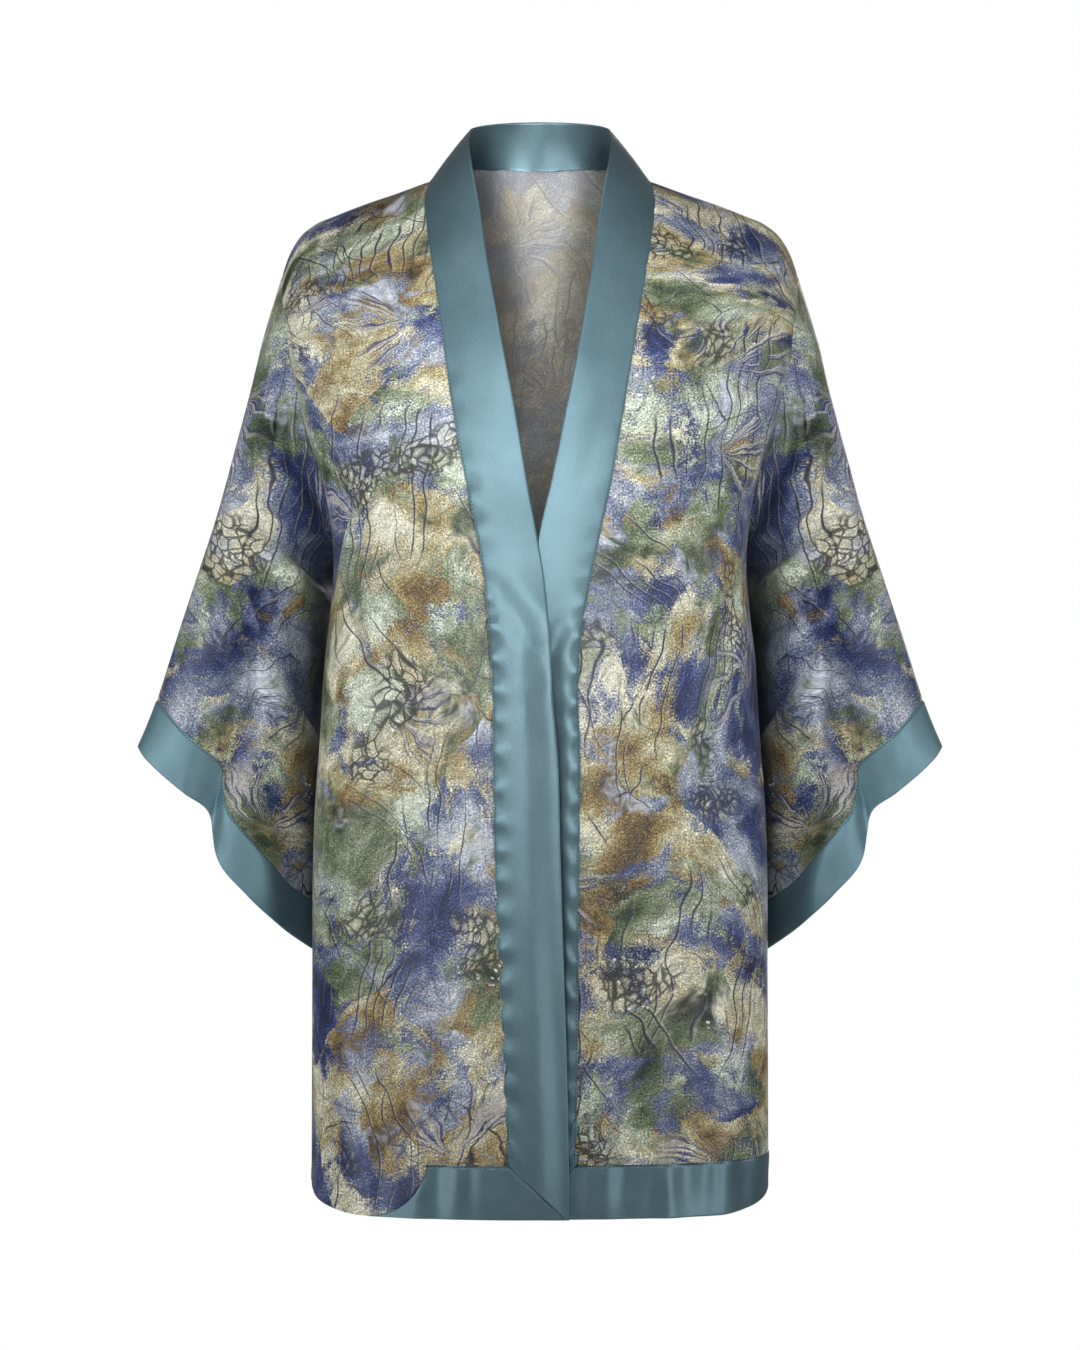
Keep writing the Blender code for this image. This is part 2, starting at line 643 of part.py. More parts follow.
for side, word in ((RIGHT, "right"), (LEFT, "left")):
    surface = lambda angle, way, side=side: front(side, angle, way)
    ways = np.repeat(seam_rows[side][:, None], SHOULDER_STEPS + 1, axis=1)
    if side == RIGHT:
        count = SHOULDER_STEPS - BAND_STEPS - SIDE_STEPS
        seam_foot = seam_own(side, np.array(math.sqrt(BAND_TOP)))
        flat_part = np.linspace(seam_foot, LOBE_INNER, count + 1)
        corner = np.linspace(angle_of(LOBE_OUTER, math.sqrt(HEM)), math.pi / 2, SIDE_STEPS + 1)
        side_part = half_width(math.sqrt(HEM)) * np.sin(corner)
        foot_own = np.r_[flat_part, lobe_own[1:-1], side_part]
        foot_drop = np.r_[np.full(count, BAND_TOP), lobe_drop, hem_drop(corner[1:])]
        stretch = np.clip((ways[:, :1] ** 2 - rows[shear_row] ** 2), 0, None)
        stretch = stretch / stretch[-1]
        ways = np.sqrt(ways**2 + (foot_drop - BAND_TOP) * stretch)
        side_foot = np.sqrt(BAND_TOP + (foot_drop[-1] - BAND_TOP) * hem_share[1:])
        ways[:, -1] = np.r_[rows, side_foot]
    share = np.linspace(0, 1, SHOULDER_STEPS + 1)
    start = np.abs(angle_of(seam_own(side, seam_rows[side]), seam_rows[side]))[:, None]
    stop = armhole_angle(ways[:, -1])[:, None]
    angles = start + (stop - start) * share
    if side == RIGHT:
        foot = angle_of(foot_own, ways[-1])
        foot[-1] = math.pi / 2
        gather = step_up(seam_rows[side] ** 2, GATHER_FROM, BAND_TOP)[:, None]
        angles = angles + (foot - angles) * gather
    angles = side * angles
    hem_angles[side] = angles[-1]
    normals = normals_of(surface, angles, ways)
    normals[:, 0] = seam_normal(side, seam_rows[side])
    normals[: ARMHOLE_STEPS + 1, -1] = front_rim * (side, 1, 1)
    wall(
        f"front_{word}",
        cut_back(surface(angles, ways), "top", "bottom", "start", "end"),
        normals,
        CLOTH,
        print_satin,
    )

    # Its hem band, from the mitre to the side seam, or to the right front's curved edge
    top = hem_angles[side]
    if side == RIGHT:
        top = top[: count + 1]
    mitre_own = seam_own(side, np.array(math.sqrt(BAND_TOP))) * (1 - hem_share)
    mitre_own = mitre_own + edge_own(side, np.array(math.sqrt(HEM))) * hem_share
    fade = np.linspace(1, 0, len(top)) ** 2
    end_fade = np.linspace(0, 1, len(top)) ** 2
    middle_way = np.sqrt(BAND_TOP + (HEM - BAND_TOP) * hem_share)
    mitre = angle_of(side * mitre_own, middle_way)[:, None] - top[0]
    angles = top + mitre * fade
    if side == RIGHT:
        curve = side * angle_of(lobe_own, np.sqrt(lobe_drop))[:, None] - top[-1]
        angles = angles + curve * end_fade
    bottom = hem_drop(angles)
    down = hem_share[:, None] * np.ones(len(top))
    if side == RIGHT:
        lobe_share = (lobe_drop - BAND_TOP) / (lobe_drop[-1] - BAND_TOP)
        down = down + (lobe_share - hem_share)[:, None] * end_fade
        bottom[:, -1] = lobe_drop[-1]
    ways = np.sqrt(BAND_TOP + (bottom - BAND_TOP) * down)
    edges = ("top", "start", "end")
    wall(
        f"hem_front_{word}",
        cut_back(surface(angles, ways), *edges),
        normals_of(surface, angles, ways),
        BAND,
        band_satin,
    )

# Back and its hem band
neck_stations = np.linspace(-BACK_SPAN, 0, NECK_STEPS + 1)
neck_ways = station_way(neck_stations)
neck_angles = angle_of(NECK_HALF * np.sin(neck_turn(neck_stations)), neck_ways)
share = np.linspace(0, 1, SHOULDER_STEPS + 1)[1:]
half_angles = np.concatenate(
    [
        np.repeat(neck_angles[None], len(rows), axis=0),
        neck_angles[-1] + (armhole_angle(rows)[:, None] - neck_angles[-1]) * share,
    ],
    axis=1,
)
even = armhole_angle(rows)[:, None] * np.linspace(0, 1, half_angles.shape[1])
half_angles += (even - half_angles) * step_up(rows**2, 0, COLUMNS_EVEN)[:, None]
half_ways = rows[:, None] * np.ones(half_angles.shape[1])
top_ways = np.abs(neck_ways[:-1])
half_ways[:, :NECK_STEPS] = top_ways + (rows[-1] - top_ways) * (rows / rows[-1])[:, None]
angles = np.concatenate([-half_angles[:, :0:-1], half_angles], axis=1)
ways = -np.concatenate([half_ways[:, :0:-1], half_ways], axis=1)
points = body(angles, ways)
normals = normals_of(body, angles, ways)
centre = angles.shape[1] // 2
normals[0, centre : centre + NECK_STEPS + 1] = seam_normal(LEFT, neck_stations)
normals[0, centre] = unit(normals[0, centre] * (0, 1, 1))
normals[0, centre - NECK_STEPS : centre] = seam_normal(RIGHT, neck_stations[:0:-1])
normals[: ARMHOLE_STEPS + 1, -1] = back_rim
normals[: ARMHOLE_STEPS + 1, 0] = back_rim * (-1, 1, 1)
wall(
    "back",
    cut_back(points, "top", "bottom", "start", "end"),
    normals,
    CLOTH,
    print_satin,
)
angles = np.repeat(angles[-1:], BAND_STEPS + 1, axis=0)
ways = -np.sqrt(BAND_TOP + (hem_drop(angles) - BAND_TOP) * hem_share[:, None])
wall(
    "hem_back",
    cut_back(body(angles, ways), "top", "start", "end"),
    normals_of(body, angles, ways),
    BAND,
    band_satin,
)

# Neckband: from the left hem up, round the neck and down to the right hem
left_stations = np.r_[neck_stations[1:-1], seam_rows[LEFT]][::-1]
right_stations = np.r_[neck_stations[:-1], seam_rows[RIGHT]]
points = np.concatenate([band_row(LEFT, left_stations), band_row(RIGHT, right_stations)])
normals = unit(np.cross(np.gradient(points, axis=1), np.gradient(points, axis=0)))
normals[: len(left_stations), 0] = seam_normal(LEFT, left_stations)
normals[len(left_stations) :, 0] = seam_normal(RIGHT, right_stations)
normals[len(left_stations), 0] = unit(normals[len(left_stations), 0] * (0, 1, 1))
for side, row in ((LEFT, 0), (RIGHT, -1)):
    end = np.sqrt(BAND_TOP + (HEM - BAND_TOP) * hem_share)
    angle = angle_of(points[row, :, 0], end)
    normals[row] = normals_of(lambda a, w: front(side, a, w), angle, end)
wall(
    "neckband",
    cut_back(points, "top", "bottom", "start"),
    normals,
    BAND,
    band_satin,
)
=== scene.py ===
"""A short kimono robe in its worn shape: printed satin panels with plain satin bands.

The origin is midway between the points where the neckband crosses the shoulders, +X is the
wearer's left, -Y the front and +Z up. "Drop" is how far a point lies below the shoulder line,
"way" is its root, minus behind, and "own" is a distance from the centre line towards a front's
own side. The sections follow the robe as it is sewn together.
"""

import math

import bpy
import numpy as np
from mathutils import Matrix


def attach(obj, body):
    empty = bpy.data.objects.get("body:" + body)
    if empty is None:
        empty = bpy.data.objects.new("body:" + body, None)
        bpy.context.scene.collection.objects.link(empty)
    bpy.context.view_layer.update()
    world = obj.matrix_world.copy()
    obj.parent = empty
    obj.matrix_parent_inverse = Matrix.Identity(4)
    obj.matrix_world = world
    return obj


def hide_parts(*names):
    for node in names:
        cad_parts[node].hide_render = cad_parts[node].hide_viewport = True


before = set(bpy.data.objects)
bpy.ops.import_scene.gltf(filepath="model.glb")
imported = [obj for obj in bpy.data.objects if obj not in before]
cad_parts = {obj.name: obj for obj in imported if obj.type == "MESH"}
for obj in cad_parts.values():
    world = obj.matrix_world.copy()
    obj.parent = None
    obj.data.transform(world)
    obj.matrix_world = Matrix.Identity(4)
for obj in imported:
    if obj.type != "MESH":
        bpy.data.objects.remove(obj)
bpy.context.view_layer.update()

# The back: one panel of printed satin, cut with a shallow neck curve and sloped shoulders. It
# hangs from the shoulders and rounds away at the sides, with long soft folds below the blades.

HALF_DEPTH = 0.120  # of the body below the chest
SHOULDER_ROUND = 0.120  # drop over which the body reaches most of its depth
SECTION_POWER = 2.7  # of the flattened oval that each level section is
SHOULDER_FADE = 0.100  # drop over which the shoulder slope dies away
SHOULDER_LINE = (  # half: distance from the centre, height: of the shoulder line there
    (0.0000, 0.0710),
    (0.0300, 0.0640),
    (0.0566, 0.0450),
    (0.0760, 0.0220),
    (0.0870, 0.0070),
    (0.0932, 0.0010),
    (0.1000, -0.0016),
    (0.1250, -0.0108),
    (0.1498, -0.0192),
    (0.1768, -0.0296),
    (0.1968, -0.0386),
    (0.2099, -0.0506),
    (0.2183, -0.0660),
    (0.2235, -0.0810),
)
NAPE_LINE = SHOULDER_LINE[:2] + (  # the same line, carried over the muscle behind it
    (0.0566, 0.0465),
    (0.0800, 0.0275),
    (0.0932, 0.0175),
    (0.1100, 0.0055),
    (0.1300, -0.0055),
    (0.1500, -0.0155),
    (0.1768, -0.0285),
) + SHOULDER_LINE[-4:]
NAPE_FROM = 0.008  # drop over which the back leaves the shoulder line for it
BODY_WIDTH = (  # drop, half: half width at the armhole's edge, and at the side seam below it
    (0.0000, 0.2235),
    (0.0500, 0.2220),
    (0.1000, 0.2195),
    (0.1600, 0.2162),
    (0.1900, 0.2122),
    (0.2200, 0.2050),
    (0.2500, 0.1957),
    (0.2800, 0.1862),
    (0.2990, 0.1815),
    (0.3300, 0.1790),
    (0.3700, 0.1815),
    (0.4100, 0.1862),
    (0.4900, 0.1914),
    (0.5360, 0.1950),
    (0.6000, 0.1973),
    (0.6800, 0.1977),
    (0.8880, 0.1986),
)
ARMPIT = 0.299  # drop of the armhole's lowest point
ARMHOLE_TOP = -0.081  # height of its highest point
ARMHOLE_HALF_DEPTH = 0.047  # from its edge in front to the middle
BODY_FOLDS = (  # face, own and drop where it starts and ends, depth, width
    ("front", 0.207, 0.125, 0.187, 0.290, 0.006, 0.012),
    ("front", 0.082, 0.600, 0.086, 0.950, 0.003, 0.016),
    ("front", 0.132, 0.540, 0.140, 0.950, 0.004, 0.019),
    ("front", 0.172, 0.380, 0.176, 0.950, 0.004, 0.013),
    ("back", 0.000, 0.300, 0.000, 0.950, 0.004, 0.022),
    ("back", 0.060, 0.340, 0.068, 0.950, 0.006, 0.018),
    ("back", 0.122, 0.240, 0.138, 0.950, 0.007, 0.019),
    ("back", 0.205, 0.125, 0.187, 0.290, 0.005, 0.012),
)
FOLD_FADE = 0.25  # share of a fold's length over which each end dies away
FOLD_UNLIKE = 0.2  # how much deeper on the wearer's left, and on the right shallower
NECK_HALF = 0.0932  # of the neck seam, at the shoulder line
NECK_DROP = 0.0432  # of the neck seam at the centre back
BACK_SPAN = 0.33  # stations of the neck seam from the centre back to the shoulder, minus ones
COLUMNS_EVEN = 0.300  # drop at which the back's columns have spread out evenly
BAND_TOP = 0.842  # drop of the seam between a panel and its hem band
HEM = 0.888  # drop of the lower edge
HEM_RISE, HEM_RISE_POWER = 0.018, 1.5  # how far it rises to a side seam, and how steeply
HEM_RISE_FROM = math.radians(50)  # angle of the body's section from which it does
BACK_CREASES = (  # x and drop where it starts and ends, depth, width, bow
    (-0.215, 0.170, -0.100, 0.330, 0.0030, 0.010, 0.010),
    (0.212, 0.175, 0.080, 0.300, 0.0026, 0.011, -0.012),
    (-0.190, 0.270, -0.110, 0.520, 0.0034, 0.011, 0.012),
    (0.186, 0.290, 0.120, 0.560, 0.0030, 0.012, -0.010),
    (-0.060, 0.060, -0.100, 0.260, 0.0012, 0.012, 0.006),
    (0.050, 0.050, 0.090, 0.230, 0.0014, 0.011, -0.004),
    (-0.030, 0.420, -0.024, 0.960, 0.0022, 0.011, 0.004),
    (0.034, 0.500, 0.036, 0.960, 0.0026, 0.010, -0.003),
    (-0.096, 0.560, -0.102, 0.960, 0.0026, 0.010, 0.003),
    (0.100, 0.480, 0.106, 0.960, 0.0022, 0.012, -0.004),
    (-0.166, 0.500, -0.168, 0.960, 0.0024, 0.009, 0.002),
    (0.164, 0.560, 0.170, 0.960, 0.0020, 0.010, -0.002),
)
BACK_WAVES = (  # height, share of the drop that counts, size and seed of the slow waves
    (0.0012, 0.6, 0.045, 11),
    (0.0004, 0.5, 0.016, 12),
)
BACK_CALM = 0.93  # sine of the section's angle from which folds die away to the side seam
SHOULDER_CALM = 0.03  # drop over which they grow from the shoulder seam
CREASE_FADE = 0.3  # share of a crease's length over which each end dies away
RIDGE, RIDGE_AWAY, RIDGE_WIDTH = 0.4, 1.9, 0.85  # beside a crease: shares of its depth and width
LATTICE = 64  # lots along each side of the sheet of lots that makes the slow waves
PRINT_HALF = 0.00045  # half the thickness of the printed satin
NEAR_SEAM = (0.0, 0.0006, 0.0013, 0.0022, 0.0035)  # close rows at an edge, metres from it
SEAM_WAYS = 2.9  # ways for each metre that the cloth runs down from the shoulder seam
DITCH, DITCH_WIDTH = 0.0008, 0.0016  # how far the cloth dips into a seam, and how near to it
SEWN_IN = 0.0013  # how far inside the seams the stitches lie
ARMHOLE_DIP = 0.009  # how far body and sleeve sink at their seam beside the chest
BODY_SINK, SLEEVE_SINK = 0.011, 0.018  # how far from the seam they do so
DIP_ASIDE, DIP_INWARDS = 0.5, 0.87  # which way: towards the middle, and into the robe
DIP_GROWS = 0.22, 0.55  # shares of the way round the armhole, from its top
DIP_EASES, DIP_EASE = (0.86, 1.0), 0.85  # such shares, and by how much of itself it eases
DIP_GONE = 0.05  # drop below the armpit over which it dies away
ARMHOLE_STEPS, SIDE_STEPS, ACROSS_STEPS, NECK_STEPS = 100, 170, 58, 26
SHOULDER_CLEAR = 0.0125  # way past which the rows at the shoulder seam are no longer close
PANEL_ACROSS, HALF_ACROSS = 0.15, 0.28  # rough metres from the neck, or the middle, to the side
SHARP = math.radians(70)  # angle between faces past which the edge between them is sharp
EDGE_POINTS = 60  # along the armhole's edge, for measuring it
FLAT_POINTS = 25, 200  # round the body and down it, for measuring its flat cloth
BACK_PLACE = 0.3, 0.0  # of its top on the printed cloth, where no other piece is cut
BACK_CUT = {"flat": (0.54, 0.95), "area": 0.436}  # flat size, and area of what shows
RIGHT, LEFT = -1, 1  # the wearer's
SIDES = (RIGHT, "right"), (LEFT, "left")


def through(at, table, number=1):
    """A smooth curve through a column of a table, or a slice of them, read anywhere along it."""
    places = np.array([row[0] for row in table], float)
    values = np.array([row[number] for row in table], float)
    slopes = np.gradient(values, places, axis=0)
    at = np.clip(at, places[0], places[-1])
    i = np.clip(np.searchsorted(places, at, side="right") - 1, 0, len(places) - 2)
    span = places[i + 1] - places[i]
    u = (at - places[i]) / span
    if values.ndim > 1:
        span = span[..., None]
        u = u[..., None]
    ease = u * u * (3 - 2 * u)
    start = span * slopes[i] * u * (1 - u) ** 2
    end = span * slopes[i + 1] * u * u * (u - 1)
    return values[i] + (values[i + 1] - values[i]) * ease + start + end


def step_up(at, low, high):
    """0 below low, 1 above high, smooth between."""
    u = np.clip((at - low) / (high - low), 0, 1)
    return u * u * (3 - 2 * u)


def unit(vectors):
    return vectors / np.linalg.norm(vectors, axis=-1, keepdims=True)


def steps(length, count, start=True, end=True):
    """Shares along a length: even ones, with closer ones near each edge that is asked for."""
    shares = np.linspace(0, 1, count + 1)
    near = np.array(NEAR_SEAM) / length
    clear = near[-1] * 1.4
    if start:
        shares = np.r_[near, shares[shares > clear]]
    if end:
        shares = np.r_[shares[shares < 1 - clear], 1 - near[::-1]]
    return shares


def shoulder_share(drop):
    return np.exp(-((drop / SHOULDER_FADE) ** 2))


def depth_at(way):
    """Half depth of the body at a way down it. Minus is behind."""
    return np.sign(way) * HALF_DEPTH * np.sqrt(1 - np.exp(-way * way / SHOULDER_ROUND))


def armhole_angle(way):
    """The section angle of the armhole's edge, or of the side seam below it."""
    drop = np.maximum(way * way, 1e-6)
    edge = through(drop, BODY_WIDTH)
    height = -drop + through(edge, SHOULDER_LINE) * shoulder_share(drop)
    middle, half_height = (ARMHOLE_TOP - ARMPIT) / 2, (ARMHOLE_TOP + ARMPIT) / 2
    round_off = np.clip(1 - ((height - middle) / half_height) ** 2, 0, 1)
    share = ARMHOLE_HALF_DEPTH * np.sqrt(round_off) / np.abs(depth_at(np.sqrt(drop)))
    share = np.where(drop < ARMPIT - 1e-6, share, 0)
    return np.arcsin((1 - share**SECTION_POWER) ** (1 / SECTION_POWER))


def half_width(way):
    return through(way * way, BODY_WIDTH) / np.sin(armhole_angle(way))


def by_line(start, end, place):
    """How far along a line a place lies, as a share of its length, and how far beside it."""
    run = np.array([end[0] - start[0], end[1] - start[1]])
    length = math.hypot(*run)
    run /= length
    off = place[0] - start[0], place[1] - start[1]
    return (off[0] * run[0] + off[1] * run[1]) / length, off[0] * run[1] - off[1] * run[0]


def body_folds(face, x, drop):
    """How deep the body's largest folds are at a place on its front or back. Those that reach
    the hem run out over it."""
    total = np.zeros_like(x)
    for side, *start, end_own, end_drop, depth, width in BODY_FOLDS:
        if side == face:
            along, aside = by_line(start, (end_own, end_drop), (np.abs(x), drop))
            ends = step_up(along, 0, FOLD_FADE)
            if end_drop < HEM:
                ends = ends * step_up(1 - along, 0, FOLD_FADE)
            total = total + depth * ends * np.exp(-((aside / width) ** 2))
    return total * (1 + FOLD_UNLIKE * np.tanh(x / NECK_HALF))


def body(angle, way):
    """A point of the body. Angle is 0 at the centre and a right angle at the side seam."""
    angle, way = np.broadcast_arrays(angle, way)
    drop = way * way
    across = np.sin(angle)
    along = (1 - np.abs(across) ** SECTION_POWER).clip(0) ** (1 / SECTION_POWER)
    x = half_width(way) * across
    folds = np.where(way > 0, body_folds("front", x, drop), body_folds("back", x, drop))
    y = -(depth_at(way) - folds * np.sign(way)) * along * np.sign(np.cos(angle))
    line, nape = through(np.abs(x), SHOULDER_LINE), through(np.abs(x), NAPE_LINE)
    behind = np.where(way < 0, 1 - np.exp(-drop / NAPE_FROM), 0)
    z = -drop + (line + (nape - line) * behind) * shoulder_share(drop)
    return np.stack([x, y, z], axis=-1)


def angle_of(x, way):
    return np.arcsin(np.clip(x / half_width(way), -1, 1))


def normals_of(surface, angle, way):
    nudge = 1e-4
    across = surface(angle + nudge, way) - surface(angle - nudge, way)
    down = surface(angle, way + nudge) - surface(angle, way - nudge)
    return unit(np.cross(down, across))


def neck_turn(station):
    """Angle round the back of the neck seam, 0 at the centre back."""
    return (1 + np.minimum(station, 0) / BACK_SPAN) * math.pi / 2


def station_way(station):
    """A station runs along the neckband: minus round the back of the neck, then down a front."""
    return np.where(station < 0, -math.sqrt(NECK_DROP) * np.cos(neck_turn(station)), station)


def hem_drop(angle):
    """Drop of the lower edge, which rises in a round into each side seam."""
    turn = (np.abs(angle) - HEM_RISE_FROM) / (math.pi / 2 - HEM_RISE_FROM)
    return HEM - HEM_RISE * np.clip(turn, 0, 1) ** HEM_RISE_POWER


def creases(table, across, down):
    """Height of the soft folds in a table: a trough with a lower ridge along each side."""
    height = np.zeros(np.broadcast(across, down).shape)
    for *start, end_across, end_down, depth, width, bow in table:
        along, aside = by_line(start, (end_across, end_down), (across, down))
        aside = np.abs(aside - bow * 4 * along * (1 - along)) / width
        ends = step_up(along, 0, CREASE_FADE) * step_up(1 - along, 0, CREASE_FADE)
        ridge = RIDGE * np.exp(-(((aside - RIDGE_AWAY) / RIDGE_WIDTH) ** 2))
        height += depth * ends * (ridge - np.exp(-(aside**2)))
    return height


def drift(across, down, size, seed):
    """A slow, uneven rise and fall of a sheet of cloth, mostly between -1 and 1."""
    lattice = np.random.default_rng(seed).normal(0, 0.5, (LATTICE, LATTICE))
    u, v = (np.asarray(place) / size + LATTICE / 4 for place in (across, down))
    i, j = (np.floor(place).astype(int) % (LATTICE - 1) for place in (u, v))
    a, b = u - np.floor(u), v - np.floor(v)
    a, b = a * a * (3 - 2 * a), b * b * (3 - 2 * b)
    upper = lattice[i, j] * (1 - a) + lattice[i + 1, j] * a
    lower = lattice[i, j + 1] * (1 - a) + lattice[i + 1, j + 1] * a
    return upper * (1 - b) + lower * b


def from_edge(points, edge):
    """Distance of each point of a grid from one of its edges, measured along the cloth."""
    axis = 0 if edge in ("top", "bottom") else 1
    length = np.linalg.norm(np.diff(points, axis=axis), axis=-1)
    first = np.zeros_like(points[..., 0]).take([0], axis)
    run = np.concatenate([first, np.cumsum(length, axis=axis)], axis=axis)
    return run if edge in ("top", "start") else run.take([-1], axis) - run


def ditch(points, *edges):
    """Height of the dip into each seam along the named edges."""
    return -DITCH * sum(np.exp(-((from_edge(points, edge) / DITCH_WIDTH) ** 2)) for edge in edges)


def flat_places(points, corner):
    """Each point's place on the flat cloth, in metres: across from the middle column, and down."""
    across = from_edge(points, "start")
    middle = across.shape[1] // 2
    across = across - across[:, middle : middle + 1]
    down = from_edge(points, "top").mean(axis=1, keepdims=True)
    return np.stack([corner[0] + across, corner[1] + down + 0 * across], axis=-1)


def sewing_line(points, normals, height, edge):
    """A line just inside an edge, as high above the cloth's middle as given, and its normals."""
    far = from_edge(points, edge)
    if edge == "top":
        row = np.argmax(far.mean(axis=1) > SEWN_IN)
        return points[row] + normals[row] * height, normals[row]
    column = np.argmax(far.mean(axis=0) > SEWN_IN)
    return points[:, column] + normals[:, column] * height, normals[:, column]


def armhole_sink(distance, round_, side, face, reach):
    """Moves that sink body and sleeve together into their seam, most beside the chest. Round
    runs from 0 at the armhole's top to 1 at its foot."""
    weight = step_up(round_, *DIP_GROWS) * (1 - DIP_EASE * step_up(round_, *DIP_EASES))
    depth = ARMHOLE_DIP * weight * np.exp(-((distance / reach) ** 2))
    inwards = DIP_INWARDS if face == "front" else -DIP_INWARDS
    return depth[..., None] * (-DIP_ASIDE * side, inwards, 0)


def length_to(points):
    """The length of a line of points up to each of them."""
    return np.r_[0, np.cumsum(np.linalg.norm(np.diff(points, axis=0), axis=1))]


def body_flat(angle, way, corner):
    """Places on the flat cloth of points of the body: round from the centre, and down."""
    parts = np.linspace(0, 1, FLAT_POINTS[0])[:, None, None]
    around = body(angle * parts, way * np.ones_like(parts))[..., :2]
    around = np.linalg.norm(np.diff(around, axis=0), axis=-1).sum(axis=0) * np.sign(angle)
    middle = np.linspace(0, math.sqrt(HEM), FLAT_POINTS[1])
    down = np.interp(np.abs(way), middle, length_to(body(0 * middle, middle)[:, 1:]))
    return np.stack([corner[0] + around, corner[1] + down], axis=-1)


def closed(points, axis=1):
    """What goes round a tube or a ring, with the first ones again at the end."""
    return np.concatenate([points, points.take([0], axis)], axis=axis)


def wall_faces(outer, inner, ring):
    """The quads of a closed wall between two grids of numbers."""
    quads = [
        (outer[:-1, :-1], outer[:-1, 1:], outer[1:, 1:], outer[1:, :-1]),
        (inner[:-1, :-1], inner[1:, :-1], inner[1:, 1:], inner[:-1, 1:]),
        (outer[0, 1:], outer[0, :-1], inner[0, :-1], inner[0, 1:]),
        (outer[-1, :-1], outer[-1, 1:], inner[-1, 1:], inner[-1, :-1]),
        (outer[:-1, 0], outer[1:, 0], inner[1:, 0], inner[:-1, 0]),
        (outer[1:, -1], outer[:-1, -1], inner[:-1, -1], inner[1:, -1]),
    ]
    quads = quads[:4] if ring else quads
    return np.concatenate([np.stack(corners, axis=-1).reshape(-1, 4) for corners in quads])


def shell(name, points, normals, half, flat, finishes, ring=False):
    """A piece of cloth: a closed wall on a grid of points, half as thick each way as given, with
    its places on the flat cloth. The second finish is its wrong side."""
    rows, columns = points.shape[:2]
    lift = normals * np.broadcast_to(half, (rows, columns))[..., None]
    numbers = np.arange(2 * rows * columns).reshape(2, rows, columns)
    if ring:
        numbers = closed(numbers, axis=2)
    faces = wall_faces(*numbers, ring)
    spots = np.arange(flat.shape[0] * flat.shape[1]).reshape(flat.shape[:2])
    spots = wall_faces(spots, spots, ring)
    facing = np.cross(points[:-1, 1:] - points[:-1, :-1], points[1:, :-1] - points[:-1, :-1])
    if (facing * normals[:-1, :-1]).sum() < 0:
        faces, spots = faces[:, ::-1], spots[:, ::-1]
    places = np.concatenate([(points + lift).reshape(-1, 3), (points - lift).reshape(-1, 3)])
    data = bpy.data.meshes.new(name)
    data.from_pydata(places.tolist(), [], faces.tolist())
    spread = flat.reshape(-1, 2)[spots.ravel()].astype(np.float32).ravel()
    data.uv_layers.new(name="cloth").data.foreach_set("uv", spread)
    for finish in finishes:
        data.materials.append(finish)
    if len(finishes) > 1:
        sheet = (rows - 1) * (numbers.shape[2] - 1)
        wrong = np.zeros(len(faces), np.int32)
        wrong[sheet : 2 * sheet] = 1
        data.polygons.foreach_set("material_index", wrong)
    data.shade_smooth()
    data.set_sharp_from_angle(angle=SHARP)
    piece = bpy.data.objects.new(name, data)
    bpy.context.scene.collection.objects.link(piece)
    return piece


def stated(piece, solid, slot, **cut):
    """Hangs a piece of cloth from the root and hides the solid that it replaces. What it is made of
    and its cut are not used.
    """
    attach(piece, "root")
    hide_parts(solid)


def panel(name, solid, surface, angles, ways, folds, armholes, corner, **cut):
    """A panel of the body, sewn in all round. Its soft folds die away at the shoulders and side
    seams, and it sinks towards the armholes, which are given as an edge and a side each."""
    table, waves, calm = folds
    base = surface(angles, ways)
    outward = normals_of(surface, angles, ways)
    height = creases(table, base[..., 0], ways**2)
    for depth, stretch, size, seed in waves:
        height = height + depth * drift(base[..., 0], ways**2 * stretch, size, seed)
    beside = step_up(np.sin(np.abs(angles)), calm, 1.0)
    height = height * step_up(ways**2, 0.0, SHOULDER_CALM) * (1 - beside)
    lift = height + ditch(base, "top", "start", "end", "bottom")
    points = base + outward * lift[..., None]
    face = "front" if ways[-1, 0] > 0 else "back"
    for edge, side in armholes:
        sink = armhole_sink(from_edge(base, edge), row_rounds, side, face, BODY_SINK)
        points = points + sink * row_share[..., None]
    piece = shell(name, points, outward, PRINT_HALF, body_flat(angles, ways, corner),
                  [print_satin, print_wrong])
    stated(piece, solid, "print_satin", **cut)


class Wire:
    """A socket of a material's nodes, so that shader maths reads as an expression."""

    def __init__(self, tree, socket):
        self.tree = tree
        self.socket = socket

    def maths(self, operation, *sockets):
        settings = {"operation": operation}
        return node(self.tree, "ShaderNodeMath", settings, dict(enumerate(sockets)))

    def __add__(self, other):
        return self.maths("ADD", self, other)

    def __sub__(self, other):
        return self.maths("SUBTRACT", self, other)

    def __rsub__(self, other):
        return self.maths("SUBTRACT", other, self)

    def __mul__(self, other):
        return self.maths("MULTIPLY", self, other)

    __radd__ = __add__
    __rmul__ = __mul__


def node(tree, kind, settings, sockets, output=0):
    """Adds a node: its settings first, then the values or links of its sockets."""
    made = tree.nodes.new(kind)
    for name, value in settings.items():
        if name == "stops":
            ramp = made.color_ramp
            while len(ramp.elements) < len(value):
                ramp.elements.new(0.5)
            for element, (place, colour) in zip(ramp.elements, value):
                element.position = place
                element.color = (*colour, 1)
        else:
            setattr(made, name, value)
    for name, value in sockets.items():
        if isinstance(value, Wire):
            tree.links.new(value.socket, made.inputs[name])
        else:
            made.inputs[name].default_value = value
    return Wire(tree, made.outputs[output])


def smooth(value, low, high):
    """A mask that rises from 0 at low to 1 at high."""
    limits = {"Value": value, "From Min": low, "From Max": high}
    return node(value.tree, "ShaderNodeMapRange", {"interpolation_type": "SMOOTHSTEP"}, limits)


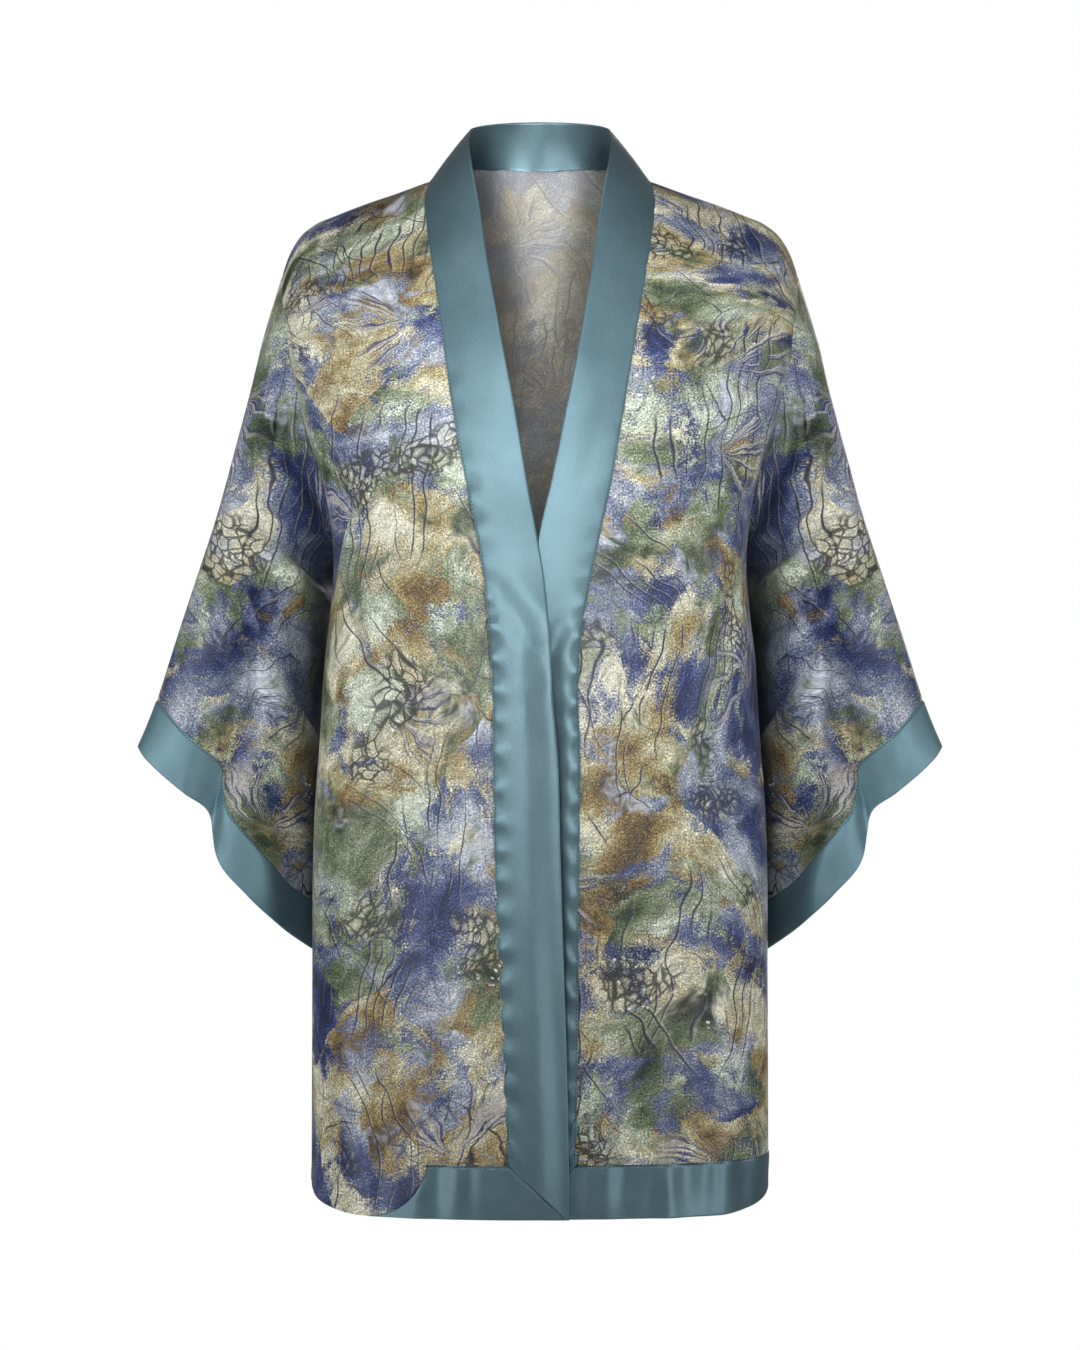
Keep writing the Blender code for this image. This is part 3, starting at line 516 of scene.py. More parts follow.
def mix(first, second, share, way="MIX"):
    """Two colours mixed, as paint or by multiplying."""
    wires = [wire for wire in (share, first, second) if isinstance(wire, Wire)]
    first, second = (c if isinstance(c, Wire) else (*c, 1) for c in (first, second))
    settings = {"data_type": "RGBA", "blend_type": way}
    return node(wires[0].tree, "ShaderNodeMix", settings, {0: share, 6: first, 7: second}, 2)


def noise(place, scale, detail=2, rough=0.5, output="Fac"):
    sockets = {"Vector": place, "Scale": scale, "Detail": detail, "Roughness": rough}
    return node(place.tree, "ShaderNodeTexNoise", {}, sockets, output)


def moved(place, by=(0, 0, 0), turn=0.0, stretch=(1, 1, 1)):
    sockets = {"Vector": place, "Location": by, "Rotation": (0, 0, turn), "Scale": stretch}
    return node(place.tree, "ShaderNodeMapping", {"vector_type": "TEXTURE"}, sockets)


def vectors(tree, operation, *sockets, output=0):
    settings = {"operation": operation}
    return node(tree, "ShaderNodeVectorMath", settings, dict(enumerate(sockets)), output)


def pushed(place, scale, amount, detail=3):
    """A place moved about by noise, which bends whatever is drawn on it."""
    colour = noise(place, scale, detail, output="Color")
    centred = vectors(place.tree, "SUBTRACT", colour, (0.5, 0.5, 0.5))
    return vectors(place.tree, "MULTIPLY_ADD", centred, (amount, amount, 0), place)


def coordinate(place, axis):
    return node(place.tree, "ShaderNodeSeparateXYZ", {}, {0: place}, axis)


def grey(level):
    """A grey that multiplies a colour's brightness."""
    return node(level.tree, "ShaderNodeCombineColor", {}, {0: level, 1: level, 2: level})


def new_finish(name, constants):
    """A new material's tree, and its shader with the sockets that are the same all over."""
    material = bpy.data.materials.new(name)
    material.use_nodes = True
    shader = material.node_tree.nodes["Principled BSDF"]
    for socket, value in constants.items():
        shader.inputs[socket].default_value = value
    return material, material.node_tree, shader


def feed(shader, **wires):
    """Links wires to the shader's sockets, named with _ for a space."""
    for name, wire in wires.items():
        wire.tree.links.new(wire.socket, shader.inputs[name.replace("_", " ")])


WASHES = (  # place and scale of each wash's noise, its grain, and its paint from dark to light
    ((3.1, 1.7, 0), 13.0, 0.30, (
        (0.34, (0.010, 0.014, 0.046)),
        (0.42, (0.026, 0.044, 0.165)),
        (0.49, (0.100, 0.132, 0.255)),
        (0.55, (0.250, 0.285, 0.370)),
        (0.63, (0.520, 0.555, 0.630)),
    )),
    ((7.7, 4.2, 0), 12.0, 0.26, (
        (0.33, (0.024, 0.022, 0.016)),
        (0.39, (0.150, 0.092, 0.032)),
        (0.45, (0.310, 0.225, 0.085)),
        (0.52, (0.460, 0.425, 0.260)),
        (0.61, (0.740, 0.725, 0.580)),
    )),
    ((5.3, 2.4, 0), 14.0, 0.26, (
        (0.35, (0.014, 0.022, 0.018)),
        (0.41, (0.062, 0.090, 0.044)),
        (0.49, (0.180, 0.220, 0.120)),
        (0.56, (0.350, 0.400, 0.290)),
        (0.63, (0.600, 0.660, 0.540)),
    )),
)
COMBS = (  # turn, place, pitch and threshold of each set of combed lines
    (0.06, (0.0, 0.0, 0), 0.0100, 0.49),
    (-0.65, (6.2, 4.4, 0), 0.0090, 0.56),
)
FURROW, LIP, VEIN = (0.016, 0.016, 0.045), (0.560, 0.540, 0.440), (0.018, 0.018, 0.040)
FAN_DARK, FAN_LIGHT = (0.030, 0.034, 0.150), (0.660, 0.640, 0.540)
GLAZE, GLAZE_GAPS = (0.500, 0.490, 0.370), (0.030, 0.032, 0.030)
# the painted shade laid down the sleeves' under seams, and the print's bright specks
PAINTED_SHADE, SPECKS = (0.014, 0.016, 0.024), (0.900, 0.890, 0.820)
FADED, FADED_BY = (0.475, 0.465, 0.440), 0.58  # the wrong side's grey, and how far towards it
SHADE_ON_CLOTH = 3.30, 3.35  # places along the flat cloth past which only the sleeves lie
SHADE_ASIDE = 0.190, 0.224  # distances from the middle over which the painted shade by the under seams ends
SHADE_HEIGHT = -0.350, -0.240  # heights over which it ends


def painted(tree):
    """The print: a generic painterly design of washes, combed lines, veins, fans and specks, with
    painted shade down the sleeves' under seams.
    Also gives the thickness of the paint and the places on the cloth."""
    cloth = node(tree, "ShaderNodeUVMap", {"uv_map": "cloth"}, {})
    bent = pushed(cloth, 5.0, 0.12)
    fine = pushed(bent, 30.0, 0.020)
    speck = noise(cloth, 620.0, 1, 0.7)
    grit = speck - 0.5
    patches = node(tree, "ShaderNodeTexVoronoi", {}, {"Vector": bent, "Scale": 5.5}, "Color")
    lot, other_lot = (
        node(tree, "ShaderNodeSeparateColor", {}, {0: patches}, number) - 0.5 for number in (0, 1))

    # Washes: three families of paint, each from dark to light, that break up into grains
    paints = []
    for at, scale, grain, stops in WASHES:
        deep = noise(moved(fine, at), scale, 4, 0.62) + grit * grain
        paints.append(node(tree, "ShaderNodeValToRGB", {"stops": stops}, {"Fac": deep}))
    cool, earth, green = paints
    wash = noise(fine, 15.0, 4, 0.65) + lot * 0.20 + grit * 0.16
    colour = mix(cool, earth, smooth(wash, 0.485, 0.575))
    wash = noise(moved(fine, (1.3, 9.4, 0)), 17.0, 4, 0.65) + other_lot * 0.16
    colour = mix(colour, green, smooth(wash + grit * 0.16, 0.52, 0.62))

    # Combed lines: thin dark furrows with a light lip, side by side, that start and stop
    for turn, at, pitch, low in COMBS:
        place = moved(bent, at, turn)
        across = coordinate(place, 0) * (1 / pitch) + noise(place, 11.0, 2) * 2.6
        number = across.maths("FLOOR", across)
        off = across - number - 0.5
        down = coordinate(place, 1) * 5.0
        place = node(tree, "ShaderNodeCombineXYZ", {}, {0: number * 3.7, 1: down})
        drawn = smooth(noise(place, 1.0, 1), low, low + 0.05)
        drawn = drawn * smooth(noise(moved(bent, at), 6.5, 1), 0.47, 0.55)
        furrow = 1 - smooth(off.maths("ABSOLUTE", off), 0.03, 0.12)
        lip = 1 - smooth(off.maths("ABSOLUTE", off - 0.16), 0.03, 0.12)
        colour = mix(colour, LIP, lip * drawn * 0.25)
        colour = mix(colour, FURROW, furrow * drawn * 0.95)

    # Veins: the lines between large bent cells, which thin out and stop
    cells = node(tree, "ShaderNodeTexVoronoi", {"feature": "DISTANCE_TO_EDGE"},
                 {"Vector": fine, "Scale": 19.0}, "Distance")
    patch = smooth(noise(moved(bent, (9.1, 3.3, 0)), 9.0), 0.50, 0.62)
    colour = mix(colour, VEIN, (1 - smooth(cells, 0.003, 0.015)) * patch)

    # Fans: strokes that spread from scattered points
    spot = node(tree, "ShaderNodeTexVoronoi", {}, {"Vector": bent, "Scale": 7.5}, "Position")
    off = vectors(tree, "SUBTRACT", fine, spot)
    far = vectors(tree, "LENGTH", off, output="Value")
    bearing = far.maths("ARCTAN2", coordinate(off, 0), coordinate(off, 1))
    lot = noise(spot, 37.0, 0)
    spread = {0: bearing * 8.5, 1: far * 14.0, 2: lot * 40.0}
    spread = node(tree, "ShaderNodeCombineXYZ", {}, spread)
    sector = smooth(lot.maths("SINE", bearing + lot * 9.0), -0.1, 0.5)
    ring = smooth(far, 0.006, 0.014) * (1 - smooth(far, 0.040, 0.072)) * sector
    strokes = smooth(noise(spread, 1.0, 2, 0.6), 0.53, 0.58)
    colour = mix(colour, FAN_DARK, strokes * ring * 0.92)
    strokes = smooth(noise(moved(spread, (0.35, 0, 0)), 1.0, 2, 0.6), 0.55, 0.60)
    colour = mix(colour, FAN_LIGHT, strokes * ring * 0.6)

    # Small scales like a dried glaze, in a few patches
    glaze = node(tree, "ShaderNodeTexVoronoi", {"feature": "DISTANCE_TO_EDGE"},
                 {"Vector": moved(fine, turn=0.3, stretch=(1, 1.5, 1)), "Scale": 150.0}, "Distance")
    patch = smooth(noise(moved(bent, (2.2, 6.1, 0)), 10.0, 1), 0.60, 0.65)
    colour = mix(colour, GLAZE, smooth(glaze, 0.10, 0.45) * patch * 0.85)
    colour = mix(colour, GLAZE_GAPS, (1 - smooth(glaze, 0.03, 0.14)) * patch * 0.9)

    # Painted shade down the sleeves' under seams, where they turn back beside the body, laid in as
    # dark paint; the sleeves' places on the cloth lie far along it
    robe = node(tree, "ShaderNodeTexCoord", {}, {}, "Object")
    aside = coordinate(robe, 0) + noise(fine, 16.0, 2) * 0.016 - 0.008
    aside = aside.maths("ABSOLUTE", aside)
    under = smooth(coordinate(cloth, 0), *SHADE_ON_CLOTH) * (1 - smooth(aside, *SHADE_ASIDE))
    under = under * (1 - smooth(coordinate(robe, 2), *SHADE_HEIGHT)) * smooth(speck, 0.2, 0.5)
    colour = mix(colour, PAINTED_SHADE, under * 0.85)

    # Bright specks in clusters
    dots = node(tree, "ShaderNodeTexVoronoi", {}, {"Vector": fine, "Scale": 170.0}, "Distance")
    cluster = smooth(noise(moved(bent, (8.8, 0.9, 0)), 13.0, 2, 0.6), 0.62, 0.70)
    colour = mix(colour, SPECKS, (1 - smooth(dots, 0.16, 0.30)) * cluster)

    # Light and dark along the edges of the paint, as on thick strokes, and a coarse grain
    thick = noise(fine, 80.0, 3, 0.65)
    shifted = noise(moved(fine, (0.0018, 0.0016, 0)), 80.0, 3, 0.65)
    shade = ((thick - shifted) * 2.2 + 1.0) * (speck * 1.8 + 0.02)
    return mix(colour, grey(shade), 1.0, "MULTIPLY"), thick, cloth


print_satin, tree, shader = new_finish("print_satin", {
    "IOR": 1.5, "Specular IOR Level": 0.5, "Sheen Weight": 0.06, "Sheen Roughness": 0.45})
colour, thick, cloth = painted(tree)
weave = noise(moved(cloth, stretch=(1, 4, 1)), 2600.0, 1)
bump = {"Strength": 0.30, "Distance": 0.0003, "Height": weave * 0.5 + thick}
feed(shader, Base_Color=colour, Roughness=thick * 0.16 + 0.33,
     Normal=node(tree, "ShaderNodeBump", {}, bump))

print_wrong, tree, shader = new_finish("print_wrong_side", {
    "Roughness": 0.55, "Specular IOR Level": 0.4})
colour, thick, cloth = painted(tree)
feed(shader, Base_Color=mix(colour, FADED, FADED_BY))

# The grid: its rows follow the armhole's edge and then the side seam, and its columns the neck
edge_ways = np.linspace(0, math.sqrt(ARMPIT), EDGE_POINTS)
edge_shares = length_to(body(armhole_angle(edge_ways), edge_ways))
edge_shares = edge_shares / edge_shares[-1]
armhole_ways = np.interp(np.linspace(0, 1, ARMHOLE_STEPS + 1), edge_shares, edge_ways)
armhole_ways = armhole_ways[armhole_ways > SHOULDER_CLEAR]
armhole_ways = np.r_[np.array(NEAR_SEAM) * SEAM_WAYS, armhole_ways]
side_shares = steps(BAND_TOP - ARMPIT, SIDE_STEPS, start=False)[1:]
rows = np.r_[armhole_ways, np.sqrt(ARMPIT + (BAND_TOP - ARMPIT) * side_shares)]
neck_stations = np.linspace(-BACK_SPAN, 0, NECK_STEPS + 1)
neck_ways = station_way(neck_stations)
neck_angles = angle_of(NECK_HALF * np.sin(neck_turn(neck_stations)), neck_ways)
shares = steps(PANEL_ACROSS, ACROSS_STEPS, start=False)[1:]
half_angles = np.concatenate([
    np.repeat(neck_angles[None], len(rows), axis=0),
    neck_angles[-1] + (armhole_angle(rows)[:, None] - neck_angles[-1]) * shares,
], axis=1)
near = 1 - np.array(NEAR_SEAM[::-1]) / HALF_ACROSS
even = np.linspace(0, near[0], half_angles.shape[1] - len(near), endpoint=False)
even = armhole_angle(rows)[:, None] * np.r_[even, near]
half_angles += (even - half_angles) * step_up(rows**2, 0, COLUMNS_EVEN)[:, None]
half_ways = rows[:, None] * np.ones(half_angles.shape[1])
top_ways = np.abs(neck_ways[:-1])
half_ways[:, :NECK_STEPS] = top_ways + (rows[-1] - top_ways) * (rows / rows[-1])[:, None]
angles = np.concatenate([-half_angles[:, :0:-1], half_angles], axis=1)
ways = -np.concatenate([half_ways[:, :0:-1], half_ways], axis=1)
back_foot = angles[-1]
row_rounds = np.interp(rows, edge_ways, edge_shares)[:, None]
row_share = 1 - step_up(rows**2, ARMPIT, ARMPIT + DIP_GONE)[:, None]

panel("back_panel", "back", body, angles, ways, (BACK_CREASES, BACK_WAVES, BACK_CALM),
      (("start", RIGHT), ("end", LEFT)), BACK_PLACE, **BACK_CUT)

# The fronts: two panels of the same satin, sewn to the back at the shoulders and sides. The
# wearer's right one lies over the left and runs down over the hem at its side, in a round lobe.

NECKBAND_NECK = (  # drop, the seam's own, then the band's folded edge's own, y, z
    (0.0050, 0.0958, 0.0612, -0.0340, 0.0318),
    (0.0197, 0.0982, 0.0580, -0.0640, 0.0085),
    (0.0493, 0.0951, 0.0505, -0.0850, -0.0330),
)
NECKBAND_FRONT = (  # drop, right seam's and edge's own, left seam's and edge's own
    (0.1023, 0.0877, 0.0432, 0.0870, 0.0436),
    (0.1600, 0.0797, 0.0298, 0.0773, 0.0312),
    (0.2145, 0.0712, 0.0189, 0.0682, 0.0193),
    (0.2640, 0.0618, 0.0107, 0.0594, 0.0090),
    (0.3050, 0.0533, 0.0031, 0.0507, -0.0008),
    (0.3440, 0.0469, -0.0034, 0.0426, -0.0080),
    (0.3930, 0.0423, -0.0081, 0.0345, -0.0155),
    (0.4470, 0.0394, -0.0108, 0.0318, -0.0182),
    (0.4980, 0.0390, -0.0152, 0.0334, -0.0166),
    (0.5760, 0.0378, -0.0172, 0.0327, -0.0173),
    (0.6790, 0.0338, -0.0203, 0.0318, -0.0182),
    (0.7565, 0.0300, -0.0227, 0.0313, -0.0187),
    (0.8420, 0.0270, -0.0243, 0.0300, -0.0200),
    (0.8880, 0.0270, -0.0243, 0.0300, -0.0200),
)
LAP = 0.0022  # how far each front moves out of the way where they cross
LAP_FROM, LAP_FULL = 0.250, 0.330  # drops over which they come to do so
LAP_HALF, LAP_FADE = 0.050, 0.080  # the crossing's half width, and how much further it dies away
LOBE_INNER, LOBE_OUTER, LOBE_POWER = 0.0963, 0.1480, 1.8
GATHER_FROM = 0.550  # drop from which the right front's columns lean towards its lobe
STRETCH_FROM = 0.706  # drop from which its rows spread towards the lobe's lower edge
FRONT_CREASES = (  # x and drop where it starts and ends, depth, width, bow
    (-0.205, 0.150, -0.120, 0.335, 0.0030, 0.009, 0.012),
    (0.208, 0.150, 0.118, 0.330, 0.0032, 0.009, -0.012),
    (-0.192, 0.240, -0.096, 0.400, 0.0022, 0.010, 0.010),
    (0.190, 0.250, 0.100, 0.430, 0.0024, 0.010, -0.010),
    (-0.180, 0.330, -0.128, 0.560, 0.0026, 0.009, 0.010),
    (0.182, 0.320, 0.130, 0.560, 0.0028, 0.009, -0.010),
    (-0.120, 0.060, -0.100, 0.240, 0.0014, 0.011, 0.004),
    (0.122, 0.060, 0.098, 0.240, 0.0014, 0.011, -0.004),
    (-0.062, 0.420, -0.150, 0.500, 0.0014, 0.009, 0.006),
    (-0.075, 0.520, -0.078, 0.960, 0.0016, 0.009, 0.004),
    (-0.112, 0.460, -0.104, 0.960, 0.0022, 0.010, -0.004),
    (-0.154, 0.520, -0.150, 0.960, 0.0020, 0.009, 0.002),
    (0.064, 0.540, 0.060, 0.960, 0.0014, 0.009, -0.003),
    (0.108, 0.480, 0.112, 0.960, 0.0022, 0.010, 0.003),
    (0.156, 0.500, 0.152, 0.960, 0.0020, 0.009, -0.002),
    (0.058, 0.400, 0.140, 0.470, 0.0012, 0.009, -0.004),
)
FRONT_WAVES = (  # height, share of the drop that counts, size and seed
    (0.0009, 0.6, 0.040, 21),
    (0.0004, 0.5, 0.015, 22),
)
FRONT_CALM = 0.95  # sine of the section's angle from which folds die away to the side seam
FRONT_COLUMNS, LOBE_STEPS, CORNER_STEPS = 66, 20, 14  # in all, round the lobe, and beside it
LAP_EDGE = 0.06  # rough metres of the right front's foot that lie on the hem band
FRONT_PLACE = {RIGHT: (1.2, 0.0), LEFT: (2.0, 0.35)}  # on the printed cloth
FRONT_CUT = {  # flat size, and area of what shows
    RIGHT: {"flat": (0.24, 1.00), "area": 0.178},
    LEFT: {"flat": (0.24, 0.95), "area": 0.173},
}


def lap(side, points, way):
    """Moves a front's points out of the other front's way where they cross."""
    near = 1 - step_up(np.abs(points[..., 0]), LAP_HALF, LAP_HALF + LAP_FADE)
    low = step_up(way * np.abs(way), LAP_FROM, LAP_FULL)
    points = points.copy()
    points[..., 1] += side * LAP * near * low
    return points


def front(side):
    """The surface of a front, as a function of angle and way."""
    return lambda angle, way: lap(side, body(angle, way), way)


def front_table(side):
    """Stations down a front, the seam's own and the folded edge's own."""
    first = 1 if side == RIGHT else 3
    rows = [(0.0, NECK_HALF, 0.0600)]
    rows += [(math.sqrt(row[0]), *row[1:3]) for row in NECKBAND_NECK]
    return rows + [(math.sqrt(row[0]), *row[first : first + 2]) for row in NECKBAND_FRONT]


def seam_own(side, station):
    down = through(station, front_table(side))
    return np.where(station < 0, NECK_HALF * np.sin(neck_turn(station)), down)


turn = np.linspace(0, math.pi / 2, LOBE_STEPS + 1)
lobe_own = LOBE_OUTER - (LOBE_OUTER - LOBE_INNER) * np.cos(turn) ** (2 / LOBE_POWER)
lobe_foot = hem_drop(angle_of(np.array(LOBE_OUTER), math.sqrt(HEM)))
lobe_drop = BAND_TOP + (lobe_foot - BAND_TOP) * np.sin(turn) ** (2 / LOBE_POWER)
seam_foot = seam_own(RIGHT, np.array(math.sqrt(BAND_TOP)))
flat_count = FRONT_COLUMNS - LOBE_STEPS - CORNER_STEPS
flat_part = seam_foot + (LOBE_INNER - seam_foot) * steps(LAP_EDGE, flat_count, end=False)
corner = np.linspace(angle_of(LOBE_OUTER, math.sqrt(HEM)), math.pi / 2, CORNER_STEPS + 1)
foot_own = np.r_[flat_part, lobe_own[1:-1], half_width(math.sqrt(HEM)) * np.sin(corner)]
foot_drop = np.r_[np.full(len(flat_part) - 1, BAND_TOP), lobe_drop, hem_drop(corner[1:])]
front_foot = {}
for side, word in SIDES:
    shares = steps(PANEL_ACROSS, FRONT_COLUMNS)
    if side == RIGHT:
        even = np.linspace(0, 1, len(foot_own))
        shares = np.interp(even, np.linspace(0, 1, len(shares)), shares)
    ways = np.repeat(rows[:, None], len(shares), axis=1)
    start = np.abs(angle_of(seam_own(side, rows), rows))[:, None]
    if side == RIGHT:
        stretch = np.clip((rows**2 - STRETCH_FROM) / (BAND_TOP - STRETCH_FROM), 0, 1)
        ways = np.sqrt(ways**2 + (foot_drop - BAND_TOP) * stretch[:, None])
    angles = start + (armhole_angle(ways[:, -1:]) - start) * shares
    if side == RIGHT:
        foot = angle_of(foot_own, ways[-1])
        foot[-1] = math.pi / 2
        angles = angles + (foot - angles) * step_up(rows**2, GATHER_FROM, BAND_TOP)[:, None]
    angles = side * angles
    front_foot[side] = angles[-1]
    panel(f"front_panel_{word}", f"front_{word}", front(side), angles, ways,
          (FRONT_CREASES, FRONT_WAVES, FRONT_CALM), (("end", side),), FRONT_PLACE[side],
          **FRONT_CUT[side])

# The hem bands: doubled strips of plain satin along the lower edge, one behind and one to each
# front. They meet the neckband in mitres, and the right one ends under the front's lobe.

BAND_HALF = 0.0010  # half the thickness of two layers and their turnings
FOLD_ROUND = 1.3 * BAND_HALF  # how far from a folded edge a band is rounded off
HEM_ACROSS = 0.046  # the band's width
HEM_STREAKS = (  # x, depth and width of the upright ripples pressed into the hem band
    (-0.190, 0.0012, 0.006),
    (-0.171, 0.0018, 0.007),
    (-0.148, 0.0012, 0.006),
    (-0.118, 0.0019, 0.008),
    (-0.088, 0.0026, 0.009),
    (-0.060, 0.0020, 0.007),
    (0.043, 0.0022, 0.008),
    (0.070, 0.0036, 0.010),
    (0.098, 0.0020, 0.007),
    (0.124, 0.0040, 0.011),
    (0.150, 0.0022, 0.007),
    (0.176, 0.0032, 0.010),
)
STREAKS_FADE, STREAKS_LEAST = (0.35, 1.0), 0.35  # shares across, and share of the depth left
HEM_WAVES = 0.0008, 0.02, 0.016, 31  # height, metres across that count, size, seed
MITRE_STEPS = 22
HEM_PLACE = {  # on the plain cloth
    "front_right": (0.0, 2.0), "front_left": (0.0, 4.0), "back": (0.0, 5.0),
}
HEM_CUT = {  # flat size, and area of what shows
    "front_right": {"flat": (0.18, 0.047), "area": 0.0054},
    "front_left": {"flat": (0.29, 0.047), "area": 0.0116},
    "back": {"flat": (0.54, 0.044), "area": 0.0237},
}
SATIN_TONES = (
    (0.25, (0.078, 0.146, 0.178)),
    (0.50, (0.102, 0.182, 0.216)),
    (0.75, (0.132, 0.224, 0.260)),
)


def satin(name, seed, dull=0.33, painted_light=1.0):
    """Plain satin with a metal-like sheen, uneven in tone along its length, and its weave. A factor
    paints its colour lighter, as painted light where more light should fall.
    """
    material, tree, shader = new_finish(name, {
        "IOR": 1.5, "Specular IOR Level": 0.7, "Metallic": 0.60,
        "Sheen Weight": 0.10, "Sheen Roughness": 0.4})
    cloth = node(tree, "ShaderNodeUVMap", {"uv_map": "cloth"}, {})
    place = moved(cloth, (seed, seed * 0.7, 0))
    cloud = noise(place, 22.0, 4, 0.6)
    slub = noise(moved(place, stretch=(0.006, 0.0012, 1)), 1.0, 2, 0.6)
    tone = node(tree, "ShaderNodeValToRGB", {"stops": SATIN_TONES},
                {"Fac": cloud * 0.7 + slub * 0.3})
    grain = noise(moved(cloth, stretch=(1, 2.5, 1)), 900.0, 2, 0.7) * 0.5 + 0.75
    # the grain, times the factor that paints this copy of the satin lighter, as painted light
    tone = mix(tone, grey(grain * painted_light), 1.0, "MULTIPLY")
    weave = noise(moved(cloth, stretch=(1, 5, 1)), 2600.0, 1)
    bump = {"Strength": 0.30, "Distance": 0.0004, "Height": weave * 0.5 + slub * 0.4 + cloud * 2.0}
    feed(shader, Base_Color=tone, Roughness=slub * 0.10 + cloud * 0.08 + dull,
         Normal=node(tree, "ShaderNodeBump", {}, bump))
    return material


def streaks(across, share):
    """Height of the hem's upright ripples, which are deepest near the seam at share 0."""
    height = sum(-depth * np.exp(-(((across - x) / width) ** 2))
                 for x, depth, width in HEM_STREAKS)
    return height * (1 - (1 - STREAKS_LEAST) * step_up(share, *STREAKS_FADE))


def folded(points, edge):
    """Half the thickness of a doubled band, which is rounded off at its folded edge and never
    quite closes."""
    near = np.clip(from_edge(points, edge) / FOLD_ROUND, 0.05, 1)
    return BAND_HALF * np.sqrt(1 - (1 - near) ** 2)


def hem_piece(place, surface, angles, ways):
    """A hem band on a surface of the body."""
    base = surface(angles, ways)
    outward = normals_of(surface, angles, ways)
    share = np.linspace(0, 1, len(base))[:, None]
    height, reach, size, seed = HEM_WAVES
    lift = streaks(base[..., 0], share) + ditch(base, "top", "start", "end")
    lift = lift + height * drift(base[..., 0], share * reach, size, seed)
    points = base + outward * lift[..., None]
    band = shell(f"hem_band_{place}", points, outward, folded(base, "bottom"),
                 flat_places(base, HEM_PLACE[place]), [hem_satin])
    hem_sewing.append(sewing_line(points, outward, BAND_HALF, "top"))
    stated(band, f"hem_{place}", "band_satin", **HEM_CUT[place])


hem_satin = satin("hem_satin", 1.0)
hem_sewing = []
shares = steps(HEM_ACROSS, MITRE_STEPS)
for side, word in SIDES:
    top = front_foot[side]
    if side == RIGHT:
        top = top[: len(flat_part)]
    seam_end = seam_own(side, np.array(math.sqrt(BAND_TOP)))
    edge_end = through(np.array(math.sqrt(HEM)), front_table(side), 2)
    mitre_own = seam_end + (edge_end - seam_end) * shares
    middle_way = np.sqrt(BAND_TOP + (HEM - BAND_TOP) * shares)
    mitre = angle_of(side * mitre_own, middle_way)[:, None] - top[0]
    angles = top + mitre * np.linspace(1, 0, len(top)) ** 2
    down = shares[:, None] * np.ones(len(top))
    if side == RIGHT:
        end_fade = np.linspace(0, 1, len(top)) ** 2
        along = np.linspace(0, 1, len(lobe_own))
        end_own, end_drop = np.interp(shares, along, lobe_own), np.interp(shares, along, lobe_drop)
        curve = side * angle_of(end_own, np.sqrt(end_drop))[:, None] - top[-1]
        angles = angles + curve * end_fade
        end_share = (end_drop - BAND_TOP) / (end_drop[-1] - BAND_TOP)
        down = down + (end_share - shares)[:, None] * end_fade
    bottom = hem_drop(angles)
    if side == RIGHT:
        bottom[:, -1] = lobe_drop[-1]
    ways = np.sqrt(BAND_TOP + (bottom - BAND_TOP) * down)
    hem_piece(f"front_{word}", front(side), angles, ways)
hem_ways = -np.sqrt(BAND_TOP + (hem_drop(back_foot) - BAND_TOP) * shares[:, None])
hem_piece("back", body, back_foot + 0 * hem_ways, hem_ways)

# The neckband: one doubled strip of plain satin, sewn along both fronts' edges and round the neck.
# Its folded edge stands off the chest above the crossing, where the right half lies over the left.

NECKBAND_BACK = (  # seam angle from the centre back, then the folded edge's x, y, z
    (0.0, 0.0000, 0.0400, 0.0560),
    (22.5, 0.0240, 0.0385, 0.0552),
    (45.0, 0.0430, 0.0315, 0.0530),
    (67.5, 0.0560, 0.0175, 0.0492),
    (90.0, 0.0600, 0.0020, 0.0446),
)
EDGE_LIFT = 0.006  # how far the folded edge stands off the chest at the top of the opening
LIFT_FULL, LIFT_GONE = 0.100, 0.300  # drops over which it stops doing so
LAID_FROM, LAID_FULL = 0.250, 0.350  # drops over which the band comes to lie on the body's round
SHEAR_FROM = 0.706  # drop from which the neckband's rows lean towards its mitred end
PUCKER_PITCH, PUCKER_DEPTH, PUCKER_REACH = 0.028, 0.0019, 0.008  # of the dents along the seam
PUCKERS_GROW, PUCKERS_LEAST = (0.26, 0.40), 0.3  # drops, and the depth that is left above them
NECKBAND_CREASES = {  # share across from the seam, and drop, of both ends, depth, width, bow
    RIGHT: (
        (0.97, 0.4070, 0.60, 0.3975, 0.0009, 0.0022, 0.000),
        (0.92, 0.4040, 0.02, 0.3400, 0.0011, 0.0105, 0.003),
        (0.95, 0.4160, 0.40, 0.4650, 0.0006, 0.0070, -0.002),
        (0.30, 0.1600, 0.70, 0.3000, 0.0004, 0.0100, 0.003),
        (0.75, 0.0600, 0.55, 0.2000, 0.0004, 0.0090, 0.002),
        (0.35, 0.6200, 0.45, 0.8000, 0.0005, 0.0090, 0.002),
    ),
    LEFT: (
        (0.30, 0.1700, 0.65, 0.2900, 0.0004, 0.0100, -0.003),
        (0.75, 0.0600, 0.55, 0.1900, 0.0004, 0.0090, -0.002),
        (0.20, 0.3700, 0.60, 0.4300, 0.0008, 0.0070, 0.002),
        (0.30, 0.5600, 0.45, 0.7600, 0.0007, 0.0080, 0.002),
    ),
}
NECKBAND_WIDTH = 0.050
CROWN = 0.0012  # how much the band's middle stands up
CROWN_ENDS = 0.60, 0.80  # drops over which that dies away
CROSSED_FROM = 0.34, 0.44  # drops over which its halves come to cross
CROSSED_TO, CROSSED_LESS = (0.80, HEM), 0.6  # drops over which they lie closer, and by what share
EDGE_STANDS = 0.0070  # how far the upper half's folded edge stands off the lower half
EDGE_MAKES_ROOM = 0.0050  # how far the lower half sinks beneath it
STANDS_ACROSS, ROOM_ACROSS = (0.45, 1.0), (0.10, 0.50)  # shares across over which they do
BAND_ACROSS = 22  # steps
SEWN_OVER = -0.016  # share of its width by which the band reaches over the cloth sewn into it
